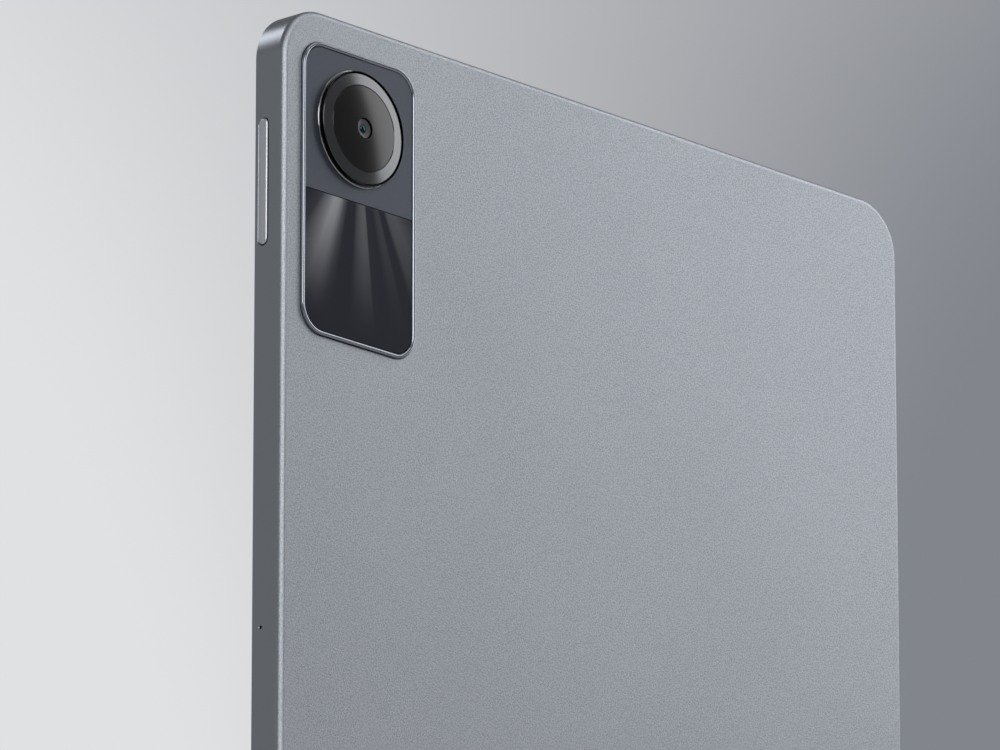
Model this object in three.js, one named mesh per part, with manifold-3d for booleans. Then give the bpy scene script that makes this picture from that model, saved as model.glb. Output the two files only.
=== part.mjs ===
// Slim tablet computer, as an assembly of the pieces it comes apart into.
// Millimetres. The tablet stands upright on its bottom short side: X runs across the screen, Z up,
// the screen faces -Y and the back with its camera plate faces +Y. The origin is the centre of the
// bottom edge of the housing.
import * as THREE from "three";
import { mergeVertices } from "three/addons/utils/BufferGeometryUtils.js";
import Module from "manifold-3d";

const wasm = await Module();
wasm.setup();

// ---- Driving dimensions ----

// Housing
const WIDTH = 167.1;
const HEIGHT = 255.5;
const THICKNESS = 7.36; // from the glass face to the back
const CORNER_RADIUS = 10;
const WALL = 1.5; // side walls
const BACK_WALL = 0.7;
const BACK_ROUNDING = 1.2; // where the sides turn into the back
const RIM_CHAMFER = 0.3; // bright cut along the front rim
const RIM_SETBACK = 0.35; // the front rim lies this far behind the glass face
const RIM_LIP = 0.65; // metal left outside the plastic frame

// Clearances
const FILM = 0.02; // between stacked layers
const FIT = 0.05; // round pieces that drop into a recess
const KEY_GAP = 0.15; // round a moving key
const TRAY_GAP = 0.1; // round the card tray
const PART_GAP = 0.4; // between boards, modules and walls
const PAST = 1; // cutting shapes run past what they cut by this

// Screen stack, front to back
const BEZEL = 9.5; // black border round the lit area
const PANEL_BORDER = 1.5; // of the panel outside the lit area
const GLASS_INSET = 2.75; // from the side of the housing
const GLASS = 0.6;
const PANEL = 1.0;
const BACKLIGHT = 0.7;
const BACKPLATE = 0.15;
const PANEL_RADIUS = 2;
const TAPE = 0.15;
const LEDGE_INSET = 3.9; // inner edge of the plastic frame
const LEDGE = 0.7;
const FRAME_PROUD = 0.15; // the plastic frame stands in front of the metal rim by this

// Camera plate on the back
const PLATE_SIDE_OFFSET = 4.6; // from the housing's side
const PLATE_TOP_OFFSET = 5.9;
const PLATE_W = 29.2;
const PLATE_H = 54;
const PLATE_RADIUS = 5.2;
const PLATE_SPLIT = 27.6; // from the plate's top to the joint of its two halves
const PLATE_RECESS = 0.35; // depth of its seat in the back
const PLATE_PROUD = 0.3;
const TRIM_W = 0.8;
const TRIM_PROUD = 0.55;
const RING_RADIUS = 10.5;
const RING_HEIGHT = 1.1; // above the plate
const RING_TOP_OFFSET = 13.9; // centre, from the plate's top
const RING_FOOT = 0.25; // polished foot outside the ring's wall
const RING_EDGE = 0.1; // chamfer and top land of the ring's wall
const GROOVE = 0.2; // shadow gap between wall and bezel
const BEZEL_DISH = 0.15; // the bezel rises towards the glass by this
const COVER_RADIUS = 7.9; // dark glass over the lens
const COVER = 0.8;
const CAMERA_OPENING = 5.4; // radius of the hole in the back
const LENS_RADIUS = 3.1;
const CAMERA_BLOCK = 8.6;
const CAMERA_FLEX_W = 5;
const CAMERA_FLEX_DROP = 8; // straight run below the module
const CAMERA_FLEX_BEND = 6; // further drop to the board

// Keys
const KEY_LINE = 2.6; // centre line of keys and side microphone, from the glass face
const KEY_W = 2.0;
const KEY_PROUD = 0.35;
const KEY_FLANGE = 0.5;
const KEY_FLANGE_LIP = 1.2; // the flange is longer than the key by this at each end
const NUB_RADIUS = 0.7;
const NUB = 0.6;
const SWITCH_GAP = 0.25; // travel left between a nub at rest and its switch
const SWITCH = 0.7;
const SWITCH_L = 3;
const SWITCH_BUTTON = 0.25;
const SWITCH_BUTTON_RADIUS = 0.8;
const ROCKER_L = 23.2;
const ROCKER_DROP = 32.8; // centre, from the top of the housing
const ROCKER_NUB_REACH = 7; // nub to centre
const POWER_L = 11;
const POWER_INSET = 17.5; // centre, from the rocker's side

// Ports and openings
const USB_LINE = 3.9; // centre of the socket, from the glass face
const USB_W = 8.94;
const USB_T = 3.2;
const USB_WALL = 0.3;
const USB_DEPTH = 7.3;
const USB_MOUTH = 0.1; // the shell's rim, inside the housing's bottom face
const USB_BASE = 1.5; // plastic block that closes the shell's inner end
const TONGUE_W = 6.6;
const TONGUE_T = 0.7;
const TONGUE_SETBACK = 0.8; // behind the shell's rim
const JACK_LINE = 4.4;
const JACK_BORE = 3.6;
const JACK_W = 6;
const JACK_DEPTH = 13;
const JACK_INSET = 17.5; // centre, from the side without keys
const SPEAKER_W = 28;
const SPEAKER_D = 12;
const SPEAKER_INSET = 42; // centre, from the nearer side
const SPEAKER_LINE = 4.3;
const SPEAKER_LID = 0.5; // height of the lid and floor that are drawn in
const SPEAKER_LID_INSET = 0.8;
const SPEAKER_HOLES = 6;
const SPEAKER_HOLE = 1.2;
const SPEAKER_PITCH = 2.4;
const MESH = 0.2;
const MESH_MARGIN = 0.8; // of a dust mesh round its holes
const MIC_CAN = 1;
const MIC_CAN_L = 3.6;
const MIC_CAN_W = 2;
const MIC_HOLE = 0.6;
const MIC_DROP = 114; // side microphone, from the top
const TOP_MIC_GAP = 3; // second microphone, from the edge of the speaker beside it
const TRAY_RISE = 38; // card tray centre, from the bottom, on the side without keys
const TRAY_LINE = 5.1;
const TRAY_FACE_L = 15;
const TRAY_FACE_T = 1.6;
const TRAY_L = 17; // behind its face
const TRAY_W = 12.6;
const TRAY_T = 1;
const CARD_W = 11;
const CARD_L = 14;
const TRAY_END_BAR = 1; // of the tray behind the card
const PIN_HOLE = 0.8;
const SEAL = 0.5;
const CAGE = 0.25; // sheet metal of the card reader

// Boards and battery
const BOARD_T = 0.7;
const BOARD_SETBACK = 0.72; // boards behind the backplate
const BOARD_H = 43;
const BOARD_DROP = 16.5; // top edge, from the top of the housing
const BOARD_RADIUS = 1.5;
const SHIELD_T = 1.5;
const SHIELD_SHEET = 0.2;
const SHIELD_RADIUS = 0.7;
const SHIELD_GAP = 3;
const SUB_BOARD_BOTTOM = 3;
const SUB_ARM_H = 20; // of the sub-board's arm, which carries the card reader
const SCREW_EDGE = 3.5; // screw centre to board edge
const SCREW_RADIUS = 0.7;
const SCREW_HEAD_RADIUS = 1.5;
const SCREW_HEAD = 0.5;
const SCREW_L = 2.2;
const SCREW_POINT = 0.3; // taper of the tip, and depth of the driver's dimple
const SCREW_HOLE = 0.9;
const BOSS_RADIUS = 2;
const CELL_T = 3.4;
const CELL_GAP = 3;
const CELL_SIDE_ZONE = 19; // between a cell and the side wall
const CELL_BOTTOM_ZONE = 58;
const CELL_TOP_ZONE = 78;
const CELL_ROUNDING = 0.6;
const CELL_RADIUS = 2;
const BATTERY_BOARD_H = 5;
const FLEX = 0.2;
const BOARD_FLEX_LAP = 6; // over each board
const DISPLAY_FLEX_W = 9;
const DISPLAY_FLEX_FOLD = 1.6; // loop above the panel
const DISPLAY_FLEX_LAP = 8; // over the main board
const ANTENNA_D = 5;
const ANTENNA_T = 3.4;
const FRONT_CAMERA_BLOCK = 5.4;
const FRONT_CAMERA_REACH = 6; // its lens, from the housing's side
const FRONT_LENS_RADIUS = 1.5;
const FRONT_LENS = 0.9;
const FRONT_FLEX_W = 4;
const FRONT_FLEX_LANE = 6; // its line, outside the battery cells
const FRONT_FLEX_LAP = 6; // over the main board
const SENSOR_OFFSET = 12; // light sensor above the front camera
const SENSOR = 2;

// Facets: of a quarter turn on the large corners, of a quarter turn of a small hole, of a ring
const CORNER_STEPS = 8;
const HOLE_STEPS = 4;
const ROUND_STEPS = 40;

// ---- Planes and places worked out from them ----

const sideX = WIDTH / 2;
const innerX = sideX - WALL;
const innerTop = HEIGHT - WALL;
const innerBottom = WALL;
const glassFace = -THICKNESS / 2;
const backFace = THICKNESS / 2;
const backInside = backFace - BACK_WALL;
const rimFace = glassFace + RIM_SETBACK;
const glassBack = glassFace + GLASS;
const panelFront = glassBack + FILM;
const panelBack = panelFront + PANEL;
const lightFront = panelBack + FILM;
const lightBack = lightFront + BACKLIGHT;
const plateFront = lightBack + FILM;
const plateBack = plateFront + BACKPLATE;
const tapeFront = glassBack + FILM;
const ledgeFront = tapeFront + TAPE + FILM;
const ledgeBack = ledgeFront + LEDGE;
const screenW = WIDTH - 2 * BEZEL + 2 * PANEL_BORDER;
const screenH = HEIGHT - 2 * BEZEL + 2 * PANEL_BORDER;
const keyY = glassFace + KEY_LINE;
const usbY = glassFace + USB_LINE;
const jackY = glassFace + JACK_LINE;
const speakerY = glassFace + SPEAKER_LINE;
const trayY = glassFace + TRAY_LINE;
const boardFront = plateBack + BOARD_SETBACK;
const boardBack = boardFront + BOARD_T;
const middleZ = HEIGHT / 2;

const plateX = sideX - PLATE_SIDE_OFFSET - PLATE_W / 2;
const plateTop = HEIGHT - PLATE_TOP_OFFSET;
const cameraX = plateX;
const cameraZ = plateTop - RING_TOP_OFFSET;
const plateSeat = backFace - PLATE_RECESS;
const plateFace = backFace + PLATE_PROUD;
const ringTop = plateFace + RING_HEIGHT;

const rockerZ = HEIGHT - ROCKER_DROP;
const powerX = sideX - POWER_INSET;
const trayZ = TRAY_RISE;
const jackX = -sideX + JACK_INSET;
const speakerX = sideX - SPEAKER_INSET;
const speakerEdge = speakerX - SPEAKER_W / 2;
const topMicX = TOP_MIC_GAP - speakerEdge;
const topMicZ = innerTop - FIT - MIC_CAN;
const sideMicZ = HEIGHT - MIC_DROP;
const subHalf = speakerEdge - 2 * PART_GAP;
const subTop = trayZ + SUB_ARM_H / 2;
const trayFaceIn = -sideX + WALL - FIT;
const trayEnd = trayFaceIn + TRAY_L;

// ---- Shapes ----

// Directions that outlines are drawn and extruded in: [outline x, outline y, extrusion].
const AXES = {
  X: [[0, 1, 0], [0, 0, 1], [1, 0, 0]],
  Y: [[1, 0, 0], [0, 0, 1], [0, -1, 0]],
  Z: [[1, 0, 0], [0, 1, 0], [0, 0, 1]],
};

function turned(geometry, axes) {
  const columns = axes.map((axis) => new THREE.Vector3(...axis));
  return geometry.applyMatrix4(new THREE.Matrix4().makeBasis(...columns));
}

function roundRect(width, height, radius, x = 0, y = 0) {
  const shape = new THREE.Shape();
  const across = width / 2 - radius;
  const up = height / 2 - radius;
  shape.absarc(x + across, y + up, radius, 0, Math.PI / 2);
  shape.absarc(x - across, y + up, radius, Math.PI / 2, Math.PI);
  shape.absarc(x - across, y - up, radius, Math.PI, Math.PI * 1.5);
  shape.absarc(x + across, y - up, radius, Math.PI * 1.5, Math.PI * 2);
  shape.closePath();
  return shape;
}

function circle(radius, x = 0, y = 0) {
  return new THREE.Shape().absarc(x, y, radius, 0, Math.PI * 2);
}

function polygon(points) {
  return new THREE.Shape(points.map(([x, y]) => new THREE.Vector2(x, y)));
}

// The outline of a strip of even thickness along a chain of points.
function ribbon(points, thickness) {
  const line = points.map(([x, y]) => new THREE.Vector2(x, y));
  const edge = (side) =>
    line.map((point, i) => {
      const before = line[Math.max(i - 1, 0)];
      const after = line[Math.min(i + 1, line.length - 1)];
      const comeIn = point.clone().sub(before).normalize();
      const goOut = after.clone().sub(point).normalize();
      if (i === 0) comeIn.copy(goOut);
      if (i === line.length - 1) goOut.copy(comeIn);
      const mitre = comeIn.clone().add(goOut).normalize();
      const reach = (side * thickness) / 2 / mitre.dot(goOut);
      return [point.x - mitre.y * reach, point.y + mitre.x * reach];
    });
  return polygon([...edge(1), ...edge(-1).reverse()]);
}

// A plate whose outline lies across X and Z, from yFront to yBack.
function plate(shape, yFront, yBack, steps = 2) {
  const options = { depth: yBack - yFront, bevelEnabled: false, curveSegments: steps };
  return turned(new THREE.ExtrudeGeometry(shape, options), AXES.Y).translate(0, yBack, 0);
}

// A bar whose outline lies across Y and Z, from x0 to x1.
function barX(shape, x0, x1, steps = 2) {
  const options = { depth: x1 - x0, bevelEnabled: false, curveSegments: steps };
  return turned(new THREE.ExtrudeGeometry(shape, options), AXES.X).translate(x0, 0, 0);
}

// A bar whose outline lies across X and Y, from z0 to z1.
function barZ(shape, z0, z1, steps = 2) {
  const options = { depth: z1 - z0, bevelEnabled: false, curveSegments: steps };
  return new THREE.ExtrudeGeometry(shape, options).translate(0, 0, z0);
}

function box(x0, x1, y0, y1, z0, z1) {
  const geometry = new THREE.BoxGeometry(x1 - x0, y1 - y0, z1 - z0);
  return geometry.translate((x0 + x1) / 2, (y0 + y1) / 2, (z0 + z1) / 2);
}

function pegY(radius, yFront, yBack, x, z, steps = 12) {
  const geometry = new THREE.CylinderGeometry(radius, radius, yBack - yFront, steps);
  return geometry.translate(x, (yFront + yBack) / 2, z);
}

// A turned piece round an axis along Y; the profile is [radius, y] and closes on itself.
function turnedY(profile, x, z, steps) {
  const points = profile.map(([radius, y]) => new THREE.Vector2(radius, y));
  if (THREE.ShapeUtils.isClockWise(points)) points.reverse();
  points.push(points[0].clone());
  return new THREE.LatheGeometry(points, steps).translate(x, 0, z);
}

// A slab with rounded corners whose outline draws in at each level: [y, inset], back to front.
function soft(width, height, radius, x, z, levels, steps = CORNER_STEPS) {
  const corners = [[1, 1], [-1, 1], [-1, -1], [1, -1]];
  const positions = [];
  for (const [y, inset] of levels) {
    corners.forEach(([right, up], quarter) => {
      for (let i = 0; i <= steps; i++) {
        const angle = (Math.PI / 2) * (quarter + i / steps);
        const bend = radius - inset;
        positions.push(
          x + right * (width / 2 - radius) + bend * Math.cos(angle),
          y,
          z + up * (height / 2 - radius) + bend * Math.sin(angle),
        );
      }
    });
  }
  const count = 4 * (steps + 1);
  const index = [];
  for (let level = 0; level < levels.length - 1; level++) {
    for (let i = 0; i < count; i++) {
      const a = level * count + i;
      const b = level * count + ((i + 1) % count);
      index.push(a, b, b + count, a, b + count, a + count);
    }
  }
  const last = (levels.length - 1) * count;
  for (let i = 1; i < count - 1; i++) {
    index.push(0, i + 1, i, last, last + i, last + i + 1);
  }
  const geometry = new THREE.BufferGeometry();
  geometry.setAttribute("position", new THREE.Float32BufferAttribute(positions, 3));
  return geometry.setIndex(index);
}

// ---- Joining and cutting ----

function solidOf(geometry) {
  const bare = geometry.index ? geometry.toNonIndexed() : geometry.clone();
  bare.deleteAttribute("normal");
  bare.deleteAttribute("uv");
  const merged = mergeVertices(bare, 1e-4);
  const vertProperties = merged.attributes.position.array;
  const triVerts = new Uint32Array(merged.index.array);
  return new wasm.Manifold(new wasm.Mesh({ numProp: 3, vertProperties, triVerts }));
}

function geometryOf(solid) {
  const { vertProperties, triVerts } = solid.getMesh();
  const geometry = new THREE.BufferGeometry();
  geometry.setAttribute("position", new THREE.BufferAttribute(vertProperties, 3));
  geometry.setIndex(new THREE.BufferAttribute(triVerts, 1));
  geometry.computeVertexNormals();
  return geometry;
}

function built(added, cut = []) {
  let solid = solidOf(added[0]);
  for (const geometry of added.slice(1)) solid = solid.add(solidOf(geometry));
  for (const geometry of cut) solid = solid.subtract(solidOf(geometry));
  return geometryOf(solid);
}

// ---- Materials ----

function finish(color, roughness, metalness) {
  return new THREE.MeshStandardMaterial({ color, roughness, metalness });
}

const anodised = finish("#8b9098", 0.45, 0.9);
const polished = finish("#c3c7cb", 0.15, 1);
const brushed = finish("#4a4b4d", 0.3, 1);
const satinPlate = finish("#545a66", 0.4, 0.5);
const glossPlate = finish("#2a2c34", 0.1, 0.2);
const blackGlass = finish("#08090b", 0.05, 0);
const blackPlastic = finish("#1a1b1e", 0.5, 0);
const whitePlastic = finish("#d9dbdd", 0.5, 0);
const steel = finish("#b4b6b8", 0.35, 1);
const tin = finish("#c9cacb", 0.4, 1);
const foam = finish("#141414", 0.9, 0);
const rubber = finish("#222326", 0.85, 0);
const polyimide = finish("#3a2a12", 0.5, 0);
const circuitBoard = finish("#10331f", 0.5, 0);
const pouch = finish("#a9abad", 0.3, 0.8);

const tablet = new THREE.Group();

function group() {
  const made = new THREE.Group();
  tablet.add(made);
  return made;
}

function place(parent, name, geometry, material, x = 0, y = 0, z = 0) {
  const mesh = new THREE.Mesh(geometry, material);
  mesh.name = name;
  mesh.position.set(x, y, z);
  parent.add(mesh);
  return mesh;
}

// ---- Keys: a rounded bar that passes through the wall, with a flange that keeps it in ----

// Local frame: X along the key, Z out of the housing, zero at the housing's outer face.
function keyGeometry(length, nubs) {
  const flangeTop = -WALL - 2 * KEY_GAP;
  const flangeBottom = flangeTop - KEY_FLANGE;
  const cap = roundRect(length, KEY_W, KEY_W / 2);
  const flange = roundRect(length + 2 * KEY_FLANGE_LIP, KEY_W, KEY_W / 2);
  const pieces = [
    barZ(cap, flangeBottom, KEY_PROUD, 4),
    barZ(flange, flangeBottom, flangeTop, 4),
  ];
  for (const reach of nubs) {
    pieces.push(barZ(circle(NUB_RADIUS, reach, 0), flangeBottom - NUB, flangeTop, 5));
  }
  return built(pieces);
}

// The slot that a key of this length moves in, drawn in the same local frame.
function keySlot(length) {
  const outline = roundRect(length + 2 * KEY_GAP, KEY_W + 2 * KEY_GAP, KEY_W / 2 + KEY_GAP);
  return barZ(outline, -WALL - PAST, PAST, 4);
}

const switchTop = -WALL - 2 * KEY_GAP - KEY_FLANGE - NUB - SWITCH_GAP;
const switchBase = switchTop - SWITCH;

function switchGeometry() {
  const bodyTop = switchTop - SWITCH_BUTTON;
  return built([
    box(-SWITCH_L / 2, SWITCH_L / 2, -KEY_W / 2, KEY_W / 2, switchBase, bodyTop),
    barZ(circle(SWITCH_BUTTON_RADIUS), bodyTop - FIT, switchTop, 5),
  ]);
}

// The stiffened strip of flexible circuit that a key's switches sit on.
function keyStrip(length) {
  const top = switchBase - FILM;
  return box(-length / 2, length / 2, -KEY_W / 2, KEY_W / 2, top - 2 * FLEX, top);
}

// Room for a key's flange and switches, cut from what lies in front of them.
function keyNotch(length) {
  const along = length / 2 + KEY_FLANGE_LIP + KEY_GAP;
  const across = KEY_W / 2 + KEY_GAP;
  return box(-along, along, -across, across, switchBase - PART_GAP, PAST);
}

// Frames of the two keys: the rocker's points along +X, the power key's along +Z.
const rockerAxes = [[0, 0, 1], [0, -1, 0], [1, 0, 0]];
const powerAxes = AXES.Z;

function onRocker(geometry, along = 0) {
  return turned(geometry.translate(along, 0, 0), rockerAxes).translate(sideX, keyY, rockerZ);
}

function onPower(geometry) {
  return turned(geometry, powerAxes).translate(powerX, keyY, HEIGHT);
}

// ---- Screws ----

const mainBoard = {
  left: -innerX + PART_GAP,
  right: cameraX - CAMERA_BLOCK / 2 - 2 * PART_GAP,
  top: HEIGHT - BOARD_DROP,
  bottom: HEIGHT - BOARD_DROP - BOARD_H,
};

const mainScrews = [
  [mainBoard.left + SCREW_EDGE, mainBoard.bottom + SCREW_EDGE],
  [mainBoard.left + SCREW_EDGE, mainBoard.top - SCREW_EDGE],
  [mainBoard.right - SCREW_EDGE, mainBoard.bottom + SCREW_EDGE],
  [mainBoard.right - SCREW_EDGE, mainBoard.top - SCREW_EDGE],
];
const subScrews = [
  [trayEnd + SCREW_EDGE, subTop - SCREW_EDGE],
  [subHalf - SCREW_EDGE, subTop - SCREW_EDGE],
];
const screws = [...mainScrews, ...subScrews];

// Pan-head screw driven from the screen side into a boss, with a dimple for the driver.
function screwGeometry() {
  const seat = boardFront - FILM;
  const top = seat - SCREW_HEAD;
  const tip = seat + SCREW_L;
  return built([
    turnedY(
      [
        [0, tip],
        [SCREW_RADIUS * 0.6, tip],
        [SCREW_RADIUS, tip - SCREW_POINT],
        [SCREW_RADIUS, seat],
        [SCREW_HEAD_RADIUS, seat],
        [SCREW_HEAD_RADIUS * 0.85, top],
        [SCREW_RADIUS * 0.85, top],
        [0, top + SCREW_POINT],
      ],
      0,
      0,
      10,
    ),
  ]);
}

// ---- Housing ----

function housingLevels() {
  const steps = 5;
  const levels = [];
  for (let i = 0; i <= steps; i++) {
    const angle = (Math.PI / 2) * (1 - i / steps);
    levels.push([
      backFace - BACK_ROUNDING * (1 - Math.sin(angle)),
      BACK_ROUNDING * (1 - Math.cos(angle)),
    ]);
  }
  levels.push([rimFace + RIM_CHAMFER, 0]);
  levels.push([rimFace, RIM_CHAMFER]);
  return levels;
}

function outlineIn(inset) {
  const radius = CORNER_RADIUS - inset;
  return roundRect(WIDTH - 2 * inset, HEIGHT - 2 * inset, radius, 0, middleZ);
}

function speakerHoles(x, z0, z1) {
  const first = x - ((SPEAKER_HOLES - 1) * SPEAKER_PITCH) / 2;
  const holes = [];
  for (let i = 0; i < SPEAKER_HOLES; i++) {
    const hole = circle(SPEAKER_HOLE / 2, first + i * SPEAKER_PITCH, speakerY);
    holes.push(barZ(hole, z0, z1, HOLE_STEPS));
  }
  return holes;
}

function housingGeometry() {
  const body = soft(WIDTH, HEIGHT, CORNER_RADIUS, 0, middleZ, housingLevels());
  const bosses = screws.map(([x, z]) =>
    pegY(BOSS_RADIUS, boardBack + FILM, backInside + BACK_WALL / 2, x, z),
  );
  const cornerSteps = CORNER_STEPS / 2;
  const plateOutline = roundRect(
    PLATE_W + 2 * FIT,
    PLATE_H + 2 * FIT,
    PLATE_RADIUS + FIT,
    plateX,
    plateTop - PLATE_H / 2,
  );
  const usb = roundRect(USB_W + 2 * FIT, USB_T + 2 * FIT, USB_T / 2 + FIT, 0, usbY);
  const tray = roundRect(
    TRAY_FACE_T + 2 * TRAY_GAP,
    TRAY_FACE_L + 2 * TRAY_GAP,
    TRAY_FACE_T / 2 + TRAY_GAP,
    trayY,
    trayZ,
  );
  const shell = solidOf(body)
    .subtract(solidOf(plate(outlineIn(RIM_LIP), glassFace - PAST, ledgeBack + FIT, cornerSteps)))
    .subtract(solidOf(plate(outlineIn(WALL), glassFace - PAST, backInside, cornerSteps)));
  const cuts = [
    plate(plateOutline, plateSeat, backFace + PAST, 4),
    pegY(CAMERA_OPENING, backInside - PAST, backFace + PAST, cameraX, cameraZ, 24),
    onRocker(keySlot(ROCKER_L)),
    onPower(keySlot(POWER_L)),
    barZ(usb, -PAST, innerBottom + PAST, 4),
    barZ(circle(JACK_BORE / 2, jackX, jackY), innerTop - PAST, HEIGHT + PAST, 10),
    barX(tray, -sideX - PAST, -innerX + PAST, 4),
    barX(circle(MIC_HOLE / 2, keyY, sideMicZ), innerX - PAST, sideX + PAST, HOLE_STEPS),
    barZ(circle(MIC_HOLE / 2, topMicX, keyY), innerTop - PAST, HEIGHT + PAST, HOLE_STEPS),
    ...screws.map(([x, z]) => pegY(SCREW_HOLE, boardBack - PAST, backInside, x, z, 10)),
  ];
  for (const side of [-1, 1]) {
    cuts.push(...speakerHoles(side * speakerX, innerTop - PAST, HEIGHT + PAST));
    cuts.push(...speakerHoles(side * speakerX, -PAST, innerBottom + PAST));
  }
  const whole = bosses.reduce((made, boss) => made.add(solidOf(boss)), shell);
  return geometryOf(cuts.reduce((made, cut) => made.subtract(solidOf(cut)), whole));
}

const housing = group();
place(housing, "rear_housing", housingGeometry(), anodised);

// ---- Screen: frame, tape, glass, panel, backlight and backplate ----

const screen = group();
const frameSteps = CORNER_STEPS / 2;

place(
  screen,
  "front_frame",
  built(
    [plate(outlineIn(RIM_LIP + FIT), rimFace - FRAME_PROUD, ledgeBack, frameSteps)],
    [
      plate(outlineIn(GLASS_INSET - FIT), glassFace - PAST, ledgeFront, frameSteps),
      plate(outlineIn(LEDGE_INSET), glassFace - PAST, backInside, frameSteps),
      onRocker(keyNotch(ROCKER_L)),
      onPower(keyNotch(POWER_L)),
    ],
  ),
  blackPlastic,
);

const tapeShape = outlineIn(GLASS_INSET + FIT);
tapeShape.holes.push(outlineIn(LEDGE_INSET - FIT));
place(screen, "display_adhesive", plate(tapeShape, tapeFront, tapeFront + TAPE, frameSteps), foam);

const glassEdge = GLASS * 0.4;
place(
  screen,
  "cover_glass",
  soft(
    WIDTH - 2 * GLASS_INSET,
    HEIGHT - 2 * GLASS_INSET,
    CORNER_RADIUS - GLASS_INSET,
    0,
    middleZ,
    [
      [glassBack, 0],
      [glassFace + glassEdge, 0],
      [glassFace + glassEdge * 0.3, glassEdge * 0.3],
      [glassFace, glassEdge],
    ],
  ),
  blackGlass,
);

const screenOutline = roundRect(screenW, screenH, PANEL_RADIUS, 0, middleZ);
place(screen, "display_panel", plate(screenOutline, panelFront, panelBack), blackGlass);
place(screen, "backlight_unit", plate(screenOutline, lightFront, lightBack), whitePlastic);
place(screen, "display_backplate", plate(screenOutline, plateFront, plateBack), steel);

const displayFlexX = speakerEdge - PART_GAP - DISPLAY_FLEX_W;
const displayTop = middleZ + screenH / 2;
const foldTop = displayTop + DISPLAY_FLEX_FOLD;
place(
  screen,
  "display_flex",
  barX(
    ribbon(
      [
        [panelFront + PANEL / 2, displayTop + FLEX],
        [panelFront + PANEL / 2, foldTop],
        [panelBack, foldTop + PANEL / 2],
        [plateBack, foldTop],
        [plateBack + 2 * FLEX, displayTop],
        [plateBack + 2 * FLEX, mainBoard.top - DISPLAY_FLEX_LAP],
      ],
      FLEX,
    ),
    displayFlexX,
    displayFlexX + DISPLAY_FLEX_W,
  ),
  polyimide,
);

// ---- Rear camera: trim, two-part plate, ring, bezel, cover glass and module ----

const camera = group();
const innerPlateW = PLATE_W - 2 * (TRIM_W + FIT);
const innerPlateRadius = PLATE_RADIUS - TRIM_W - FIT;
const plateBottom = plateTop - PLATE_H;
const splitZ = plateTop - PLATE_SPLIT;

const trimOutline = roundRect(PLATE_W, PLATE_H, PLATE_RADIUS, plateX, plateTop - PLATE_H / 2);
trimOutline.holes.push(
  roundRect(
    PLATE_W - 2 * TRIM_W,
    PLATE_H - 2 * TRIM_W,
    PLATE_RADIUS - TRIM_W,
    plateX,
    plateTop - PLATE_H / 2,
  ),
);
place(
  camera,
  "camera_trim",
  plate(trimOutline, plateSeat + FILM, backFace + TRIM_PROUD, 4),
  polished,
);

// One half of the plate: outer corners rounded, the edge along the joint straight.
function plateHalf(zJoint, zOuter) {
  const up = Math.sign(zOuter - zJoint);
  const left = plateX - innerPlateW / 2;
  const right = plateX + innerPlateW / 2;
  const arcZ = zOuter - up * innerPlateRadius;
  const shape = new THREE.Shape();
  shape.moveTo(left, zJoint);
  shape.lineTo(right, zJoint);
  shape.lineTo(right, arcZ);
  const arc = (x, from, to) => shape.absarc(x, arcZ, innerPlateRadius, from, to, up < 0);
  arc(right - innerPlateRadius, 0, (up * Math.PI) / 2);
  arc(left + innerPlateRadius, (up * Math.PI) / 2, up * Math.PI);
  shape.closePath();
  return shape;
}

const ringSeat = RING_RADIUS + RING_FOOT + FIT;
place(
  camera,
  "camera_plate_upper",
  built(
    [plate(plateHalf(splitZ + FIT, plateTop - TRIM_W - FIT), plateSeat + FILM, plateFace, 4)],
    [pegY(ringSeat, backInside, plateFace + PAST, cameraX, cameraZ, ROUND_STEPS)],
  ),
  satinPlate,
);
place(
  camera,
  "camera_plate_lower",
  plate(plateHalf(splitZ - FIT, plateBottom + TRIM_W + FIT), plateSeat + FILM, plateFace, 4),
  glossPlate,
);

const bezelOuter = RING_RADIUS - 2 * RING_EDGE - GROOVE;
const bezelSeat = ringTop - COVER;
place(
  camera,
  "camera_ring",
  built([
    turnedY(
      [
        [CAMERA_OPENING + FIT, plateSeat + FILM],
        [RING_RADIUS + RING_FOOT, plateSeat + FILM],
        [RING_RADIUS + RING_FOOT, plateFace + RING_FOOT / 2],
        [RING_RADIUS, plateFace + RING_FOOT],
        [RING_RADIUS, ringTop - RING_EDGE],
        [RING_RADIUS - RING_EDGE, ringTop],
        [RING_RADIUS - 2 * RING_EDGE, bezelSeat - FILM],
        [CAMERA_OPENING + FIT, bezelSeat - FILM],
      ],
      cameraX,
      cameraZ,
      ROUND_STEPS,
    ),
  ]),
  brushed,
);
place(
  camera,
  "camera_bezel",
  built([
    turnedY(
      [
        [COVER_RADIUS + FIT, bezelSeat],
        [bezelOuter, bezelSeat],
        [bezelOuter, ringTop - RING_EDGE],
        [COVER_RADIUS + FIT, ringTop - RING_EDGE + BEZEL_DISH],
      ],
      cameraX,
      cameraZ,
      ROUND_STEPS,
    ),
  ]),
  brushed,
);
place(
  camera,
  "camera_lens_cover",
  built([pegY(COVER_RADIUS, bezelSeat, ringTop, cameraX, cameraZ, ROUND_STEPS)]),
  blackGlass,
);
const moduleBack = plateSeat - FILM;
place(
  camera,
  "rear_camera_module",
  built([
    box(
      cameraX - CAMERA_BLOCK / 2,
      cameraX + CAMERA_BLOCK / 2,
      plateBack + 2 * PART_GAP,
      backInside - PART_GAP,
      cameraZ - CAMERA_BLOCK / 2,
      cameraZ + CAMERA_BLOCK / 2,
    ),
    pegY(LENS_RADIUS + PART_GAP, backInside - PAST, moduleBack, cameraX, cameraZ, 20),
  ]),
  blackPlastic,
);
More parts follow.
